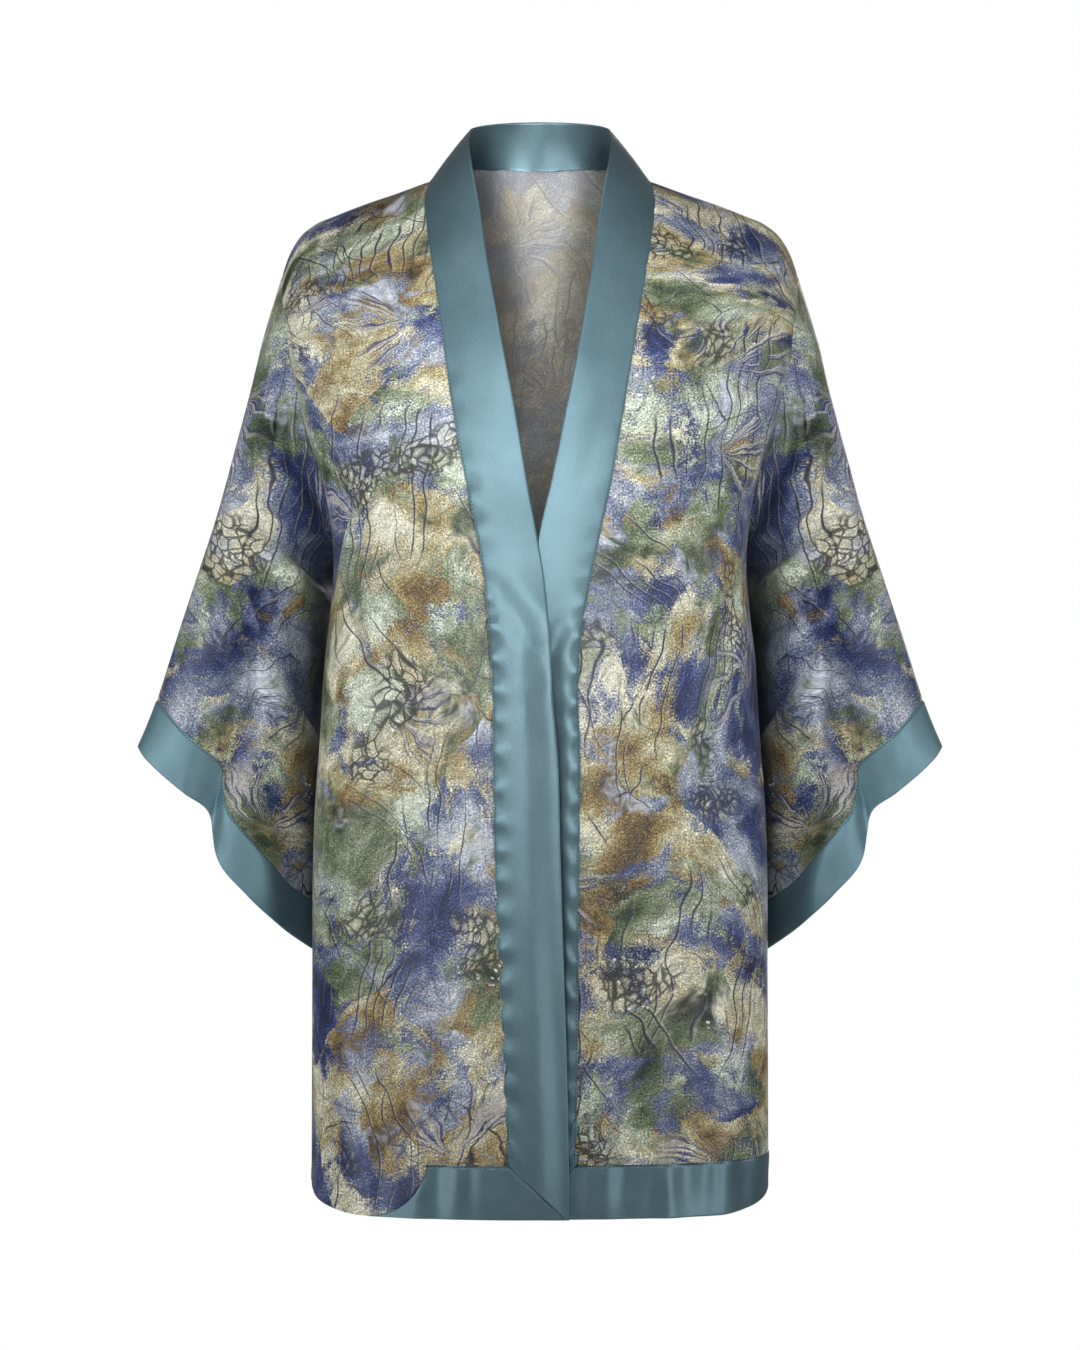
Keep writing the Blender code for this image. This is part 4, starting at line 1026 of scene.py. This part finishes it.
NEAR_FOLD = (0.056, 0.04, 0.026, 0.014, 0.006, 0.002, 0.0)  # close rows, shares from the fold
FOLD_CLEAR = 0.93  # share across up to which the rows aren't so close
NECKBAND_DITCH = 0.35  # share of the dip that other seams have
NECKBAND_PLACE = 0.0, 0.0  # on the plain cloth
NECKBAND_CUT = {"flat": (0.053, 2.09)}
NECKBAND_WAVES = 0.0004, 0.5, 0.030, 45  # height, share of the length that counts, size, seed
PUCKERS_UNEVEN = (1.5, 0.06, 41), (0.5, 0.05, 43)  # in pitch and depth: how much, size, seed


def edge_table(side):
    """Stations along the folded edge, and its points."""
    table = [(BACK_SPAN * (row[0] / 90 - 1), side * row[1], *row[2:]) for row in NECKBAND_BACK]
    table += [(math.sqrt(row[0]), side * row[2], *row[3:]) for row in NECKBAND_NECK]
    for station, _, own in front_table(side)[1 + len(NECKBAND_NECK) :]:
        way = np.array(station)
        x, y, z = front(side)(angle_of(side * own, way), way)
        table.append((station, x, y - EDGE_LIFT * (1 - step_up(way**2, LIFT_FULL, LIFT_GONE)), z))
    return table


def seam_point(side, station):
    way = station_way(station)
    return front(side)(angle_of(side * seam_own(side, station), way), way)


def band_rows(side, stations, shares):
    """The neckband's points at the stations of one side, from its seam to its folded edge."""
    seam = seam_point(side, stations)[:, None]
    edge = through(stations, edge_table(side), slice(1, 4))[:, None]
    chord = seam + (edge - seam) * shares[:, None]
    drop = np.maximum(stations, 0)[:, None] ** 2
    lean = np.clip((drop - SHEAR_FROM) / (BAND_TOP - SHEAR_FROM), 0, 1)
    way = np.sqrt(drop + (HEM - BAND_TOP) * lean * shares)
    seam_at = seam_own(side, stations)[:, None]
    edge_at = through(way[:, -1:], front_table(side), 2)
    own = seam_at + (edge_at - seam_at) * shares
    laid = front(side)(angle_of(side * own, way), way)
    return chord + (laid - chord) * step_up(drop, LAID_FROM, LAID_FULL)[..., None]


def band_lift(side, stations, shares, base):
    """Height of the neckband's dents, pulls and slow waves."""
    run = from_edge(base, "top")[:, :1]
    down = np.maximum(stations, 0)[:, None] ** 2
    across = shares * NECKBAND_WIDTH
    pitch, depth = (much * drift(run, 0, size, seed + side)
                    for much, size, seed in PUCKERS_UNEVEN)
    dents = np.cos(run * math.tau / PUCKER_PITCH + pitch) * (0.7 + depth)
    dents = dents * (PUCKERS_LEAST + (1 - PUCKERS_LEAST) * step_up(down, *PUCKERS_GROW))
    height = PUCKER_DEPTH * dents * np.exp(-((across / PUCKER_REACH) ** 2))
    table = [(start * NECKBAND_WIDTH, start_down, end * NECKBAND_WIDTH, *rest)
             for start, start_down, end, *rest in NECKBAND_CREASES[side]]
    height = height + creases(table, across, down)
    rise, stretch, size, seed = NECKBAND_WAVES
    height = height + rise * drift(run * stretch, across, size, seed + side)
    crown = CROWN * np.sin(math.pi * shares) * step_up(run, 0.0, 0.02)
    height = height + crown * (1 - step_up(down, *CROWN_ENDS))
    crossed = step_up(down, *CROSSED_FROM) * (1 - CROSSED_LESS * step_up(down, *CROSSED_TO))
    if side == RIGHT:
        return height + EDGE_STANDS * crossed * step_up(shares, *STANDS_ACROSS)
    return height - EDGE_MAKES_ROOM * crossed * step_up(shares, *ROOM_ACROSS)


neckband_satin = satin("neckband_satin", 2.0)
shares = steps(NECKBAND_WIDTH, BAND_ACROSS, end=False)
shares = shares[(shares > 0) & (shares < FOLD_CLEAR)]
shares = np.r_[SEWN_OVER, shares, 1 - np.array(NEAR_FOLD)]
halves = {}
for side, stations in ((LEFT, np.r_[neck_stations[1:-1], rows][::-1]),
                       (RIGHT, np.r_[neck_stations[:-1], rows])):
    base = band_rows(side, stations, shares)
    halves[side] = base, band_lift(side, stations, shares, base)
base, height = (np.concatenate([halves[LEFT][k], halves[RIGHT][k]]) for k in (0, 1))
outward = unit(np.cross(np.gradient(base, axis=0), np.gradient(base, axis=1)))
lift = height + NECKBAND_DITCH * ditch(base, "start", "top", "bottom")
points = base + outward * lift[..., None]
neck_sewing = [sewing_line(points, outward, BAND_HALF, "start")]
inner = slice(len(rows), len(rows) + 2 * NECK_STEPS - 1)
neck_sewing.append(sewing_line(points[inner], -outward[inner], BAND_HALF, "start"))
neckband = shell("neckband_cloth", points, outward, folded(base, "end"),
                 flat_places(base, NECKBAND_PLACE)[..., ::-1], [neckband_satin])
stated(neckband, "neckband", "band_satin", **NECKBAND_CUT)

# The sleeves: one wide panel each, folded over the top and seamed under the arm, set in at a
# dropped shoulder. The cuffs are doubled satin strips sewn round the mouths.

SLEEVE_OUTER = (  # way: share of the sleeve's length, then the outer fold's x, y, z
    (0.000, 0.2235, 0.0, -0.0810),
    (0.048, 0.2299, 0.0, -0.1010),
    (0.129, 0.2399, 0.0, -0.1344),
    (0.240, 0.2514, 0.0, -0.1812),
    (0.350, 0.2638, 0.0, -0.2277),
    (0.501, 0.2812, 0.0, -0.2909),
    (0.631, 0.2988, 0.0, -0.3444),
    (0.770, 0.3174, 0.0, -0.4010),
    (0.890, 0.3332, 0.0, -0.4503),
    (1.000, 0.3501, 0.0, -0.4947),
)
SLEEVE_UNDER = (  # way, then the under seam's x, y, z
    (0.000, 0.1815, 0.0000, -0.2990),
    (0.050, 0.1796, 0.0240, -0.3120),
    (0.100, 0.1785, 0.0420, -0.3330),
    (0.170, 0.1785, 0.0570, -0.3640),
    (0.330, 0.1800, 0.0710, -0.4250),
    (0.580, 0.1810, 0.0870, -0.5230),
    (0.850, 0.1790, 0.1010, -0.6330),
    (1.000, 0.1775, 0.1080, -0.6900),
)
SLEEVE_BULGE = (  # way, front and back: how far the cloth stands off the line between the folds
    (0.00, 0.047, 0.047),
    (0.20, 0.060, 0.056),
    (0.50, 0.072, 0.056),
    (0.80, 0.082, 0.052),
    (1.00, 0.085, 0.050),
)
BULGE_POWER = 0.7
MOUTH_SAG = (  # round, front and back: how far the mouth hangs below the line between its ends
    (0.00, 0.0000, 0.0000),
    (0.10, -0.0035, -0.0050),
    (0.21, -0.0080, -0.0105),
    (0.31, -0.0115, -0.0145),
    (0.37, -0.0030, -0.0120),
    (0.43, 0.0065, -0.0040),
    (0.60, 0.0105, 0.0040),
    (0.84, 0.0065, 0.0040),
    (1.00, 0.0000, 0.0000),
)
CUFF_FROM = 0.890  # way at which the cuff is sewn on
SETTLE = 0.45  # way over which the sleeve's section leaves the armhole's shape
SLEEVE_FOLDS = (  # face, way and round where it starts and ends, depth, width; round is 0 to 1
    ("front", 1.00, 0.34, 0.52, 0.36, 0.028, 0.032),
    ("front", 0.43, 0.12, 0.20, 0.90, 0.009, 0.014),
    ("front", 0.52, 0.15, 0.42, 0.55, 0.007, 0.014),
    ("front", 0.33, 0.26, 0.10, 0.30, 0.005, 0.012),
    ("back", 1.00, 0.42, 0.60, 0.45, 0.016, 0.034),
    ("back", 0.40, 0.20, 0.18, 0.80, 0.008, 0.016),
)
SLEEVE_GIRTH, SLEEVE_LENGTH = 0.30, 0.43  # metres that one unit of round and of way stand for
SLEEVE_CREASES = {  # distance from the middle and drop of both ends, depth, width, bow
    "front": (
        (0.232, 0.120, 0.226, 0.210, -0.0034, 0.016, 0.004),
        (0.244, 0.196, 0.208, 0.290, -0.0060, 0.019, 0.006),
        (0.262, 0.228, 0.238, 0.285, 0.0040, 0.013, 0.004),
        (0.250, 0.286, 0.190, 0.352, 0.0078, 0.011, -0.010),
        (0.236, 0.336, 0.187, 0.380, -0.0050, 0.011, -0.006),
        (0.262, 0.344, 0.191, 0.410, 0.0076, 0.013, -0.010),
        (0.244, 0.400, 0.194, 0.455, 0.0054, 0.013, -0.008),
        (0.274, 0.330, 0.262, 0.440, -0.0036, 0.016, 0.004),
        (0.256, 0.430, 0.226, 0.600, 0.0056, 0.015, 0.006),
        (0.292, 0.380, 0.306, 0.520, -0.0036, 0.018, 0.003),
        (0.230, 0.470, 0.206, 0.660, 0.0050, 0.014, 0.004),
    ),
    "back": (
        (0.236, 0.130, 0.216, 0.240, 0.0040, 0.016, 0.005),
        (0.250, 0.230, 0.194, 0.330, 0.0060, 0.013, -0.008),
        (0.262, 0.320, 0.196, 0.400, 0.0060, 0.013, -0.008),
        (0.240, 0.300, 0.196, 0.360, -0.0040, 0.012, -0.004),
        (0.268, 0.400, 0.240, 0.640, 0.0050, 0.015, 0.006),
        (0.232, 0.420, 0.212, 0.660, 0.0044, 0.013, -0.004),
        (0.300, 0.380, 0.320, 0.560, 0.0036, 0.014, 0.004),
        (0.196, 0.400, 0.200, 0.640, 0.0080, 0.014, 0.003),
    ),
}
CREASE_SHIFT = 0.004  # how far each crease's ends may lie from their places in the table
CREASE_LEAST, CREASE_MOST = (1.1, 0.9, 0.5), (1.6, 1.15, 1.5)  # times its depth, width and bow
SLEEVE_WAVES, SLEEVE_WAVE = 0.0010, 0.030  # height and size of the slow waves
SLEEVE_CALM = 0.06  # way over which the soft folds grow from the armhole
CALM_POWER = 0.4  # of how they die away at the outer fold and the under seam
FULLER, FULLER_OVER = 0.22, (0.45, 0.80)  # share of the bulge that is added, and over which rounds
RING_STEPS, SLEEVE_ROWS, CUFF_ROWS = 84, 120, 18
SLEEVE_ALONG, CUFF_WIDTH = 0.38, 0.050  # rough metres along each
NEAR_MOUTH = (0.03, 0.015, 0.006, 0.0)  # close rows, shares of the cuff from the mouth
SLEEVE_PLACE, CUFF_PLACE = (4.0, 1.3), (0.0, 7.0)  # on the printed and the plain cloth
SLEEVE_CUT = {"flat": (0.57, 0.53), "area": 0.159}  # all round
CUFF_CUT = {"flat": (0.68, 0.047), "area": 0.0259}  # all round
CORNER_RISE = 0.003  # how far the mouth's outer corner is rounded up
CORNER_ROUND, CORNER_FROM = 0.045, 0.90  # the round and the way within which it is
SLEEVE_SEED = 50


def sleeve_folds(face, way, round_):
    """How deep the sleeve's largest folds are at a place on one face. Those that start at the
    mouth are as deep there."""
    total = 0
    place = way * SLEEVE_LENGTH, round_ * SLEEVE_GIRTH
    for side, way_0, round_0, way_1, round_1, depth, width in SLEEVE_FOLDS:
        if side == face:
            start = way_0 * SLEEVE_LENGTH, round_0 * SLEEVE_GIRTH
            end = way_1 * SLEEVE_LENGTH, round_1 * SLEEVE_GIRTH
            along, aside = by_line(start, end, place)
            ends = step_up(1 - along, 0, FOLD_FADE)
            if way_0 < 1:
                ends = ends * step_up(along, 0, FOLD_FADE)
            total = total + depth * ends * np.exp(-((aside / width) ** 2))
    return total


def plain_sleeve(face, way, round_):
    """A point of the sleeve as it would be if it didn't join the armhole."""
    outer = through(way, SLEEVE_OUTER, slice(1, 4))
    under = through(way, SLEEVE_UNDER, slice(1, 4))
    chord = outer + (under - outer) * round_[..., None]
    number = 1 if face == "front" else 2
    bulge = through(way, SLEEVE_BULGE, number)
    depth = bulge * np.sin(math.pi * round_).clip(0) ** BULGE_POWER
    depth = depth * (1 + FULLER * step_up(round_, *FULLER_OVER))
    depth = depth - sleeve_folds(face, way, round_)
    level = unit((under - outer) * (1, 0, 1))
    down = np.stack([-level[..., 2], 0 * way, level[..., 0]], axis=-1)
    points = chord + down * (way**2 * through(round_, MOUTH_SAG, number))[..., None]
    points[..., 1] += depth if face == "back" else -depth
    return points


def sleeve(face, way, round_):
    """A point of the wearer's left sleeve. Way runs from the armhole to the mouth, and round from
    the outer fold to the under seam, over the front or the back."""
    down = np.interp(round_, edge_shares, edge_ways)
    rim = body(armhole_angle(down), down if face == "front" else -down)
    settle = (1 - np.clip(way / SETTLE, 0, 1))[..., None] ** 2
    return plain_sleeve(face, way, round_) + settle * (rim - plain_sleeve(face, 0 * way, round_))


def sleeve_lift(way, round_, face, points, seed):
    """Height of a sleeve face's soft folds, a little different on each side of the robe."""
    lots = np.random.default_rng(seed)
    table = []
    for row in SLEEVE_CREASES[face]:
        ends = row[:4] + lots.uniform(-CREASE_SHIFT, CREASE_SHIFT, 4)
        depth, width, bow = row[4:] * lots.uniform(CREASE_LEAST, CREASE_MOST)
        table.append((*ends, depth, width, bow))
    height = creases(table, abs(points[..., 0]), -points[..., 2])
    across, down = round_ * SLEEVE_GIRTH, way * SLEEVE_LENGTH
    height = height + SLEEVE_WAVES * drift(across, down, SLEEVE_WAVE, seed)
    calm = np.sin(math.pi * round_).clip(0) ** CALM_POWER
    return height * step_up(way, 0, SLEEVE_CALM) * calm


def tube_flat(points, corner):
    """Places on the sleeve's flat cloth: round from the outer fold, and along the sleeve."""
    middle = points.shape[1] // 2
    along = unit(points[-1, middle] - points[0, middle])
    step = np.diff(points, axis=1)
    step = step - (step @ along)[..., None] * along
    round_ = np.cumsum(np.linalg.norm(step, axis=-1), axis=1)
    round_ = np.concatenate([0 * round_[:, :1], round_], axis=1)
    round_ = round_ - round_[:, middle : middle + 1]
    return np.stack([corner[0] + round_, corner[1] + (points - points[0, middle]) @ along], axis=-1)


sleeve_rounds = np.linspace(0, 1, RING_STEPS + 1)
sleeve_ways = CUFF_FROM * steps(SLEEVE_ALONG, SLEEVE_ROWS)
cuff_shares = steps(CUFF_WIDTH, CUFF_ROWS, end=False)[:-1]
cuff_ways = CUFF_FROM + (1 - CUFF_FROM) * np.r_[cuff_shares, 1 - np.array(NEAR_MOUTH)]
all_ways = np.r_[sleeve_ways, cuff_ways[1:]]
way_grid, round_grid = np.meshgrid(all_ways, sleeve_rounds, indexing="ij")
corner_low = ((way_grid - CORNER_FROM) / (1 - CORNER_FROM)).clip(0) ** 2
corner_round = (1 - round_grid / CORNER_ROUND).clip(0) ** 2
# The cuffs' satin: the bands' satin with its colour painted 1.6 times lighter, as painted light on
# the cuffs, and rougher
cuff_satin_painted_light = satin("cuff_satin_painted_light", 3.0, dull=0.42, painted_light=1.60)
cuff_sewing = {}
for side, word in SIDES:
    faces = []
    for number, face in enumerate(("front", "back")):
        cloth = sleeve(face, way_grid, round_grid) * (side, 1, 1)
        cloth[..., 2] += CORNER_RISE * corner_low * corner_round
        sink = armhole_sink(from_edge(cloth, "top"), round_grid, side, face, SLEEVE_SINK)
        seed = SLEEVE_SEED + 2 * number + side
        faces.append((cloth, sleeve_lift(way_grid, round_grid, face, cloth, seed), sink))
    base, height, sink = (np.concatenate([before[:, ::-1], behind[:, 1:-1]], axis=1)
                          for before, behind in zip(*faces))
    wrapped = np.concatenate([base[:, -1:], base, base[:, :1]], axis=1)
    outward = side * unit(np.cross(np.gradient(base, axis=0), wrapped[:, 2:] - wrapped[:, :-2]))

    part = slice(0, len(sleeve_ways))
    cloth, normals = base[part], outward[part]
    lift = height[part] + ditch(cloth, "top", "bottom")
    points = cloth + normals * lift[..., None] + sink[part]
    piece = shell(f"sleeve_cloth_{word}", points, normals, PRINT_HALF,
                  tube_flat(closed(cloth), SLEEVE_PLACE), [print_satin, print_wrong], ring=True)
    stated(piece, f"sleeve_{word}", "print_satin", **SLEEVE_CUT)

    part = slice(len(sleeve_ways) - 1, None)
    cloth, normals = base[part], outward[part]
    lift = height[part] + ditch(cloth, "top")
    points = cloth + normals * lift[..., None] + sink[part]
    flat = flat_places(closed(cloth), CUFF_PLACE)
    flat[..., 1] = CUFF_PLACE[1] + from_edge(closed(cloth), "top")
    piece = shell(f"cuff_band_{word}", points, normals, folded(cloth, "bottom"), flat,
                  [cuff_satin_painted_light], ring=True)
    stated(piece, f"cuff_{word}", "band_satin", **CUFF_CUT)
    line = sewing_line(points, normals, BAND_HALF, "top")
    cuff_sewing[word] = [[closed(part_of_line, axis=0) for part_of_line in line]]

# The sewing: short stitches of matching thread, pressed into the satin just inside its seams, along
# the neckband, inside the back of the neck, round both cuffs and along the hem.

STITCH_PITCH, STITCH_LENGTH, THREAD = 0.0034, 0.0022, 0.0008
STITCH_UNEVEN = 0.85, 1.1  # shares of their length between which stitches differ
STITCH_FLAT = 1.3  # times as wide as it is thick
STITCH_SEED = 11
THREAD_DARK, THREAD_LIGHT = (0.028, 0.056, 0.070), (0.056, 0.104, 0.124)


def stitch_tree(material):
    """Geometry nodes that lay one stitch after another along each line."""
    tree = bpy.data.node_groups.new("stitches", "GeometryNodeTree")
    sockets = tree.interface
    sockets.new_socket("Geometry", in_out="INPUT", socket_type="NodeSocketGeometry")
    for name in ("Pitch", "Length", "Thickness"):
        sockets.new_socket(name, in_out="INPUT", socket_type="NodeSocketFloat")
    sockets.new_socket("Geometry", in_out="OUTPUT", socket_type="NodeSocketGeometry")
    lines, pitch, length, thickness = (
        node(tree, "NodeGroupInput", {}, {}, number) for number in range(4))
    lines = node(tree, "GeometryNodeMeshToCurve", {}, {"Mesh": lines})
    lines = node(tree, "GeometryNodeResampleCurve", {"mode": "LENGTH"},
                 {"Curve": lines, "Length": pitch})
    tangent = node(tree, "GeometryNodeInputTangent", {}, {})
    turn = node(tree, "FunctionNodeAlignRotationToVector", {"axis": "X"}, {"Vector": tangent})
    above = node(tree, "GeometryNodeInputNamedAttribute", {"data_type": "FLOAT_VECTOR"},
                 {"Name": "above"})
    turn = node(tree, "FunctionNodeAlignRotationToVector", {"axis": "Z", "pivot_axis": "X"},
                {"Rotation": turn, "Vector": above})
    least, most = STITCH_UNEVEN
    lot = node(tree, "FunctionNodeRandomValue", {"data_type": "FLOAT"},
               {2: least, 3: most, "Seed": STITCH_SEED}, 1)
    size = node(tree, "ShaderNodeCombineXYZ", {},
                {0: length * lot, 1: thickness * STITCH_FLAT, 2: thickness})
    stitch = node(tree, "GeometryNodeMeshUVSphere", {}, {"Segments": 8, "Rings": 5, "Radius": 0.5})
    laid = node(tree, "GeometryNodeInstanceOnPoints", {},
                {"Points": lines, "Instance": stitch, "Rotation": turn, "Scale": size})
    laid = node(tree, "GeometryNodeRealizeInstances", {}, {"Geometry": laid})
    laid = node(tree, "GeometryNodeSetShadeSmooth", {}, {"Geometry": laid})
    laid = node(tree, "GeometryNodeSetMaterial", {}, {"Geometry": laid, "Material": material})
    out = tree.nodes.new("NodeGroupOutput")
    tree.links.new(laid.socket, out.inputs[0])
    return tree


def stitches(name, lines):
    """One body of stitches along lines that are given as points and normals."""
    vertices = np.concatenate([line[0] for line in lines])
    edges, start = [], 0
    for line, _ in lines:
        edges += [(start + k, start + k + 1) for k in range(len(line) - 1)]
        start += len(line)
    mesh = bpy.data.meshes.new(name)
    mesh.from_pydata(vertices.tolist(), edges, [])
    above = mesh.attributes.new("above", "FLOAT_VECTOR", "POINT")
    above.data.foreach_set("vector", np.concatenate([line[1] for line in lines]).ravel())
    guide = bpy.data.objects.new(name + "_guide", mesh)
    bpy.context.scene.collection.objects.link(guide)
    modifier = guide.modifiers.new("stitches", "NODES")
    modifier.node_group = sewing_nodes
    sizes = {"Pitch": STITCH_PITCH, "Length": STITCH_LENGTH, "Thickness": THREAD}
    for socket in sewing_nodes.interface.items_tree:
        if socket.name in sizes:
            modifier[socket.identifier] = sizes[socket.name]
    graph = bpy.context.evaluated_depsgraph_get()
    made = bpy.data.meshes.new_from_object(guide.evaluated_get(graph))
    bpy.data.objects.remove(guide, do_unlink=True)
    piece = bpy.data.objects.new(name, made)
    made.name = name
    bpy.context.scene.collection.objects.link(piece)
    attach(piece, "root")


thread, tree, shader = new_finish("sewing_thread", {"Roughness": 0.5, "Specular IOR Level": 0.4})
place = node(tree, "ShaderNodeTexCoord", {}, {}, "Object")
feed(shader, Base_Color=mix(THREAD_DARK, THREAD_LIGHT, noise(place, 220.0, 2)))
sewing_nodes = stitch_tree(thread)
stitches("neckband_stitches", neck_sewing)
stitches("hem_stitches", hem_sewing)
for word, lines in cuff_sewing.items():
    stitches(f"cuff_stitches_{word}", lines)

# The photographer's set: a plain pale floor far below the hung robe, softboxes, a white wall of
# light that only the camera sees, and a level camera in front of the robe.

COLUMNS = 1080  # of the picture
PIXEL = 0.000871  # metres that one of them spans at the robe
SENSOR = 36
DISTANCE, CAMERA_HEIGHT, AIM_HEIGHT = 4.0, -0.350, -0.4285
FLOOR_HEIGHT, FLOOR_RADIUS = -1.42, 1.6
WALL_LIGHT, WALL_SEEN = 0.12, 0.88  # what the wall sheds on the robe, and what the camera sees more
LAMPS = (  # name, place, aim, size, watts, spread in degrees
    ("key", (-1.5, -1.9, 0.70), (0, 0, -0.30), 0.8, 3.5, 180),
    ("front left", (-0.42, -2.15, -0.17), (0, -0.1, -0.29), 0.5, 0.29, 34),
    ("front", (-0.12, -2.20, -0.17), (0, -0.1, -0.29), 0.5, 0.34, 34),
    ("front right", (0.20, -2.20, -0.17), (0, -0.1, -0.29), 0.5, 0.29, 34),
    ("low left", (-1.5, -1.6, -0.95), (-0.2, 0, -0.65), 0.8, 7, 180),
    ("low right", (1.5, -1.6, -0.95), (0.2, 0, -0.65), 0.8, 7, 180),
    ("side left", (-2.1, -0.70, -0.10), (-0.2, 0, -0.45), 1.0, 11, 180),
    ("side right", (2.1, -0.70, -0.10), (0.2, 0, -0.45), 1.0, 10, 180),
    ("right", (1.5, -1.9, 0.7), (0, 0, -0.30), 0.8, 3, 180),
    ("top", (-0.3, -0.8, 1.6), (0, 0, -0.05), 0.8, 7, 180),
    ("collar", (0.0, -1.0, -0.80), (0, 0.05, 0.03), 0.3, 0.18, 10),
    ("behind", (0.5, 2.5, -0.2), (0, 0, -0.4), 1.6, 20, 180),
)

bpy.ops.mesh.primitive_circle_add(
    vertices=96, radius=FLOOR_RADIUS, fill_type="NGON", location=(0, 0, 0))
floor = bpy.context.object
floor.name = "floor"
for vertex in floor.data.vertices:
    vertex.co.z = FLOOR_HEIGHT
floor_paint, tree, shader = new_finish("floor_paint", {"Roughness": 0.7})
place = node(tree, "ShaderNodeTexCoord", {}, {}, "Object")
feed(shader, Base_Color=mix((0.78, 0.78, 0.78), (0.84, 0.84, 0.84), noise(place, 60.0, 4)))
floor.data.materials.append(floor_paint)

scene = bpy.context.scene
world = bpy.data.worlds.new("studio")
scene.world = world
world.use_nodes = True
tree = world.node_tree
seen = node(tree, "ShaderNodeLightPath", {}, {}, "Is Camera Ray")
wall = tree.nodes["Background"]
tree.links.new((seen * WALL_SEEN + WALL_LIGHT).socket, wall.inputs["Strength"])
wall.inputs["Color"].default_value = (1, 1, 1, 1)

for name, place, aim, size, power, spread in LAMPS:
    light = bpy.data.lights.new(name, "AREA")
    light.shape = "DISK"
    light.size = size
    light.energy = power
    light.spread = math.radians(spread)
    lamp = bpy.data.objects.new(name, light)
    lamp.location = place
    away = np.array(place) - np.array(aim)
    turn = math.atan2(away[0], -away[1])
    lamp.rotation_euler = (math.atan2(math.hypot(away[0], away[1]), away[2]), 0, turn)
    lamp.visible_camera = False
    scene.collection.objects.link(lamp)

camera = bpy.data.objects.new("camera", bpy.data.cameras.new("camera"))
camera.data.sensor_fit = "HORIZONTAL"
camera.data.sensor_width = SENSOR
camera.data.lens = SENSOR * DISTANCE / (PIXEL * COLUMNS)
camera.location = (0, -DISTANCE, CAMERA_HEIGHT)
tilt = math.atan((AIM_HEIGHT - CAMERA_HEIGHT) / DISTANCE)
camera.rotation_euler = (math.pi / 2 + tilt, 0, 0)
scene.collection.objects.link(camera)
scene.camera = camera
scene.view_settings.view_transform = "Standard"
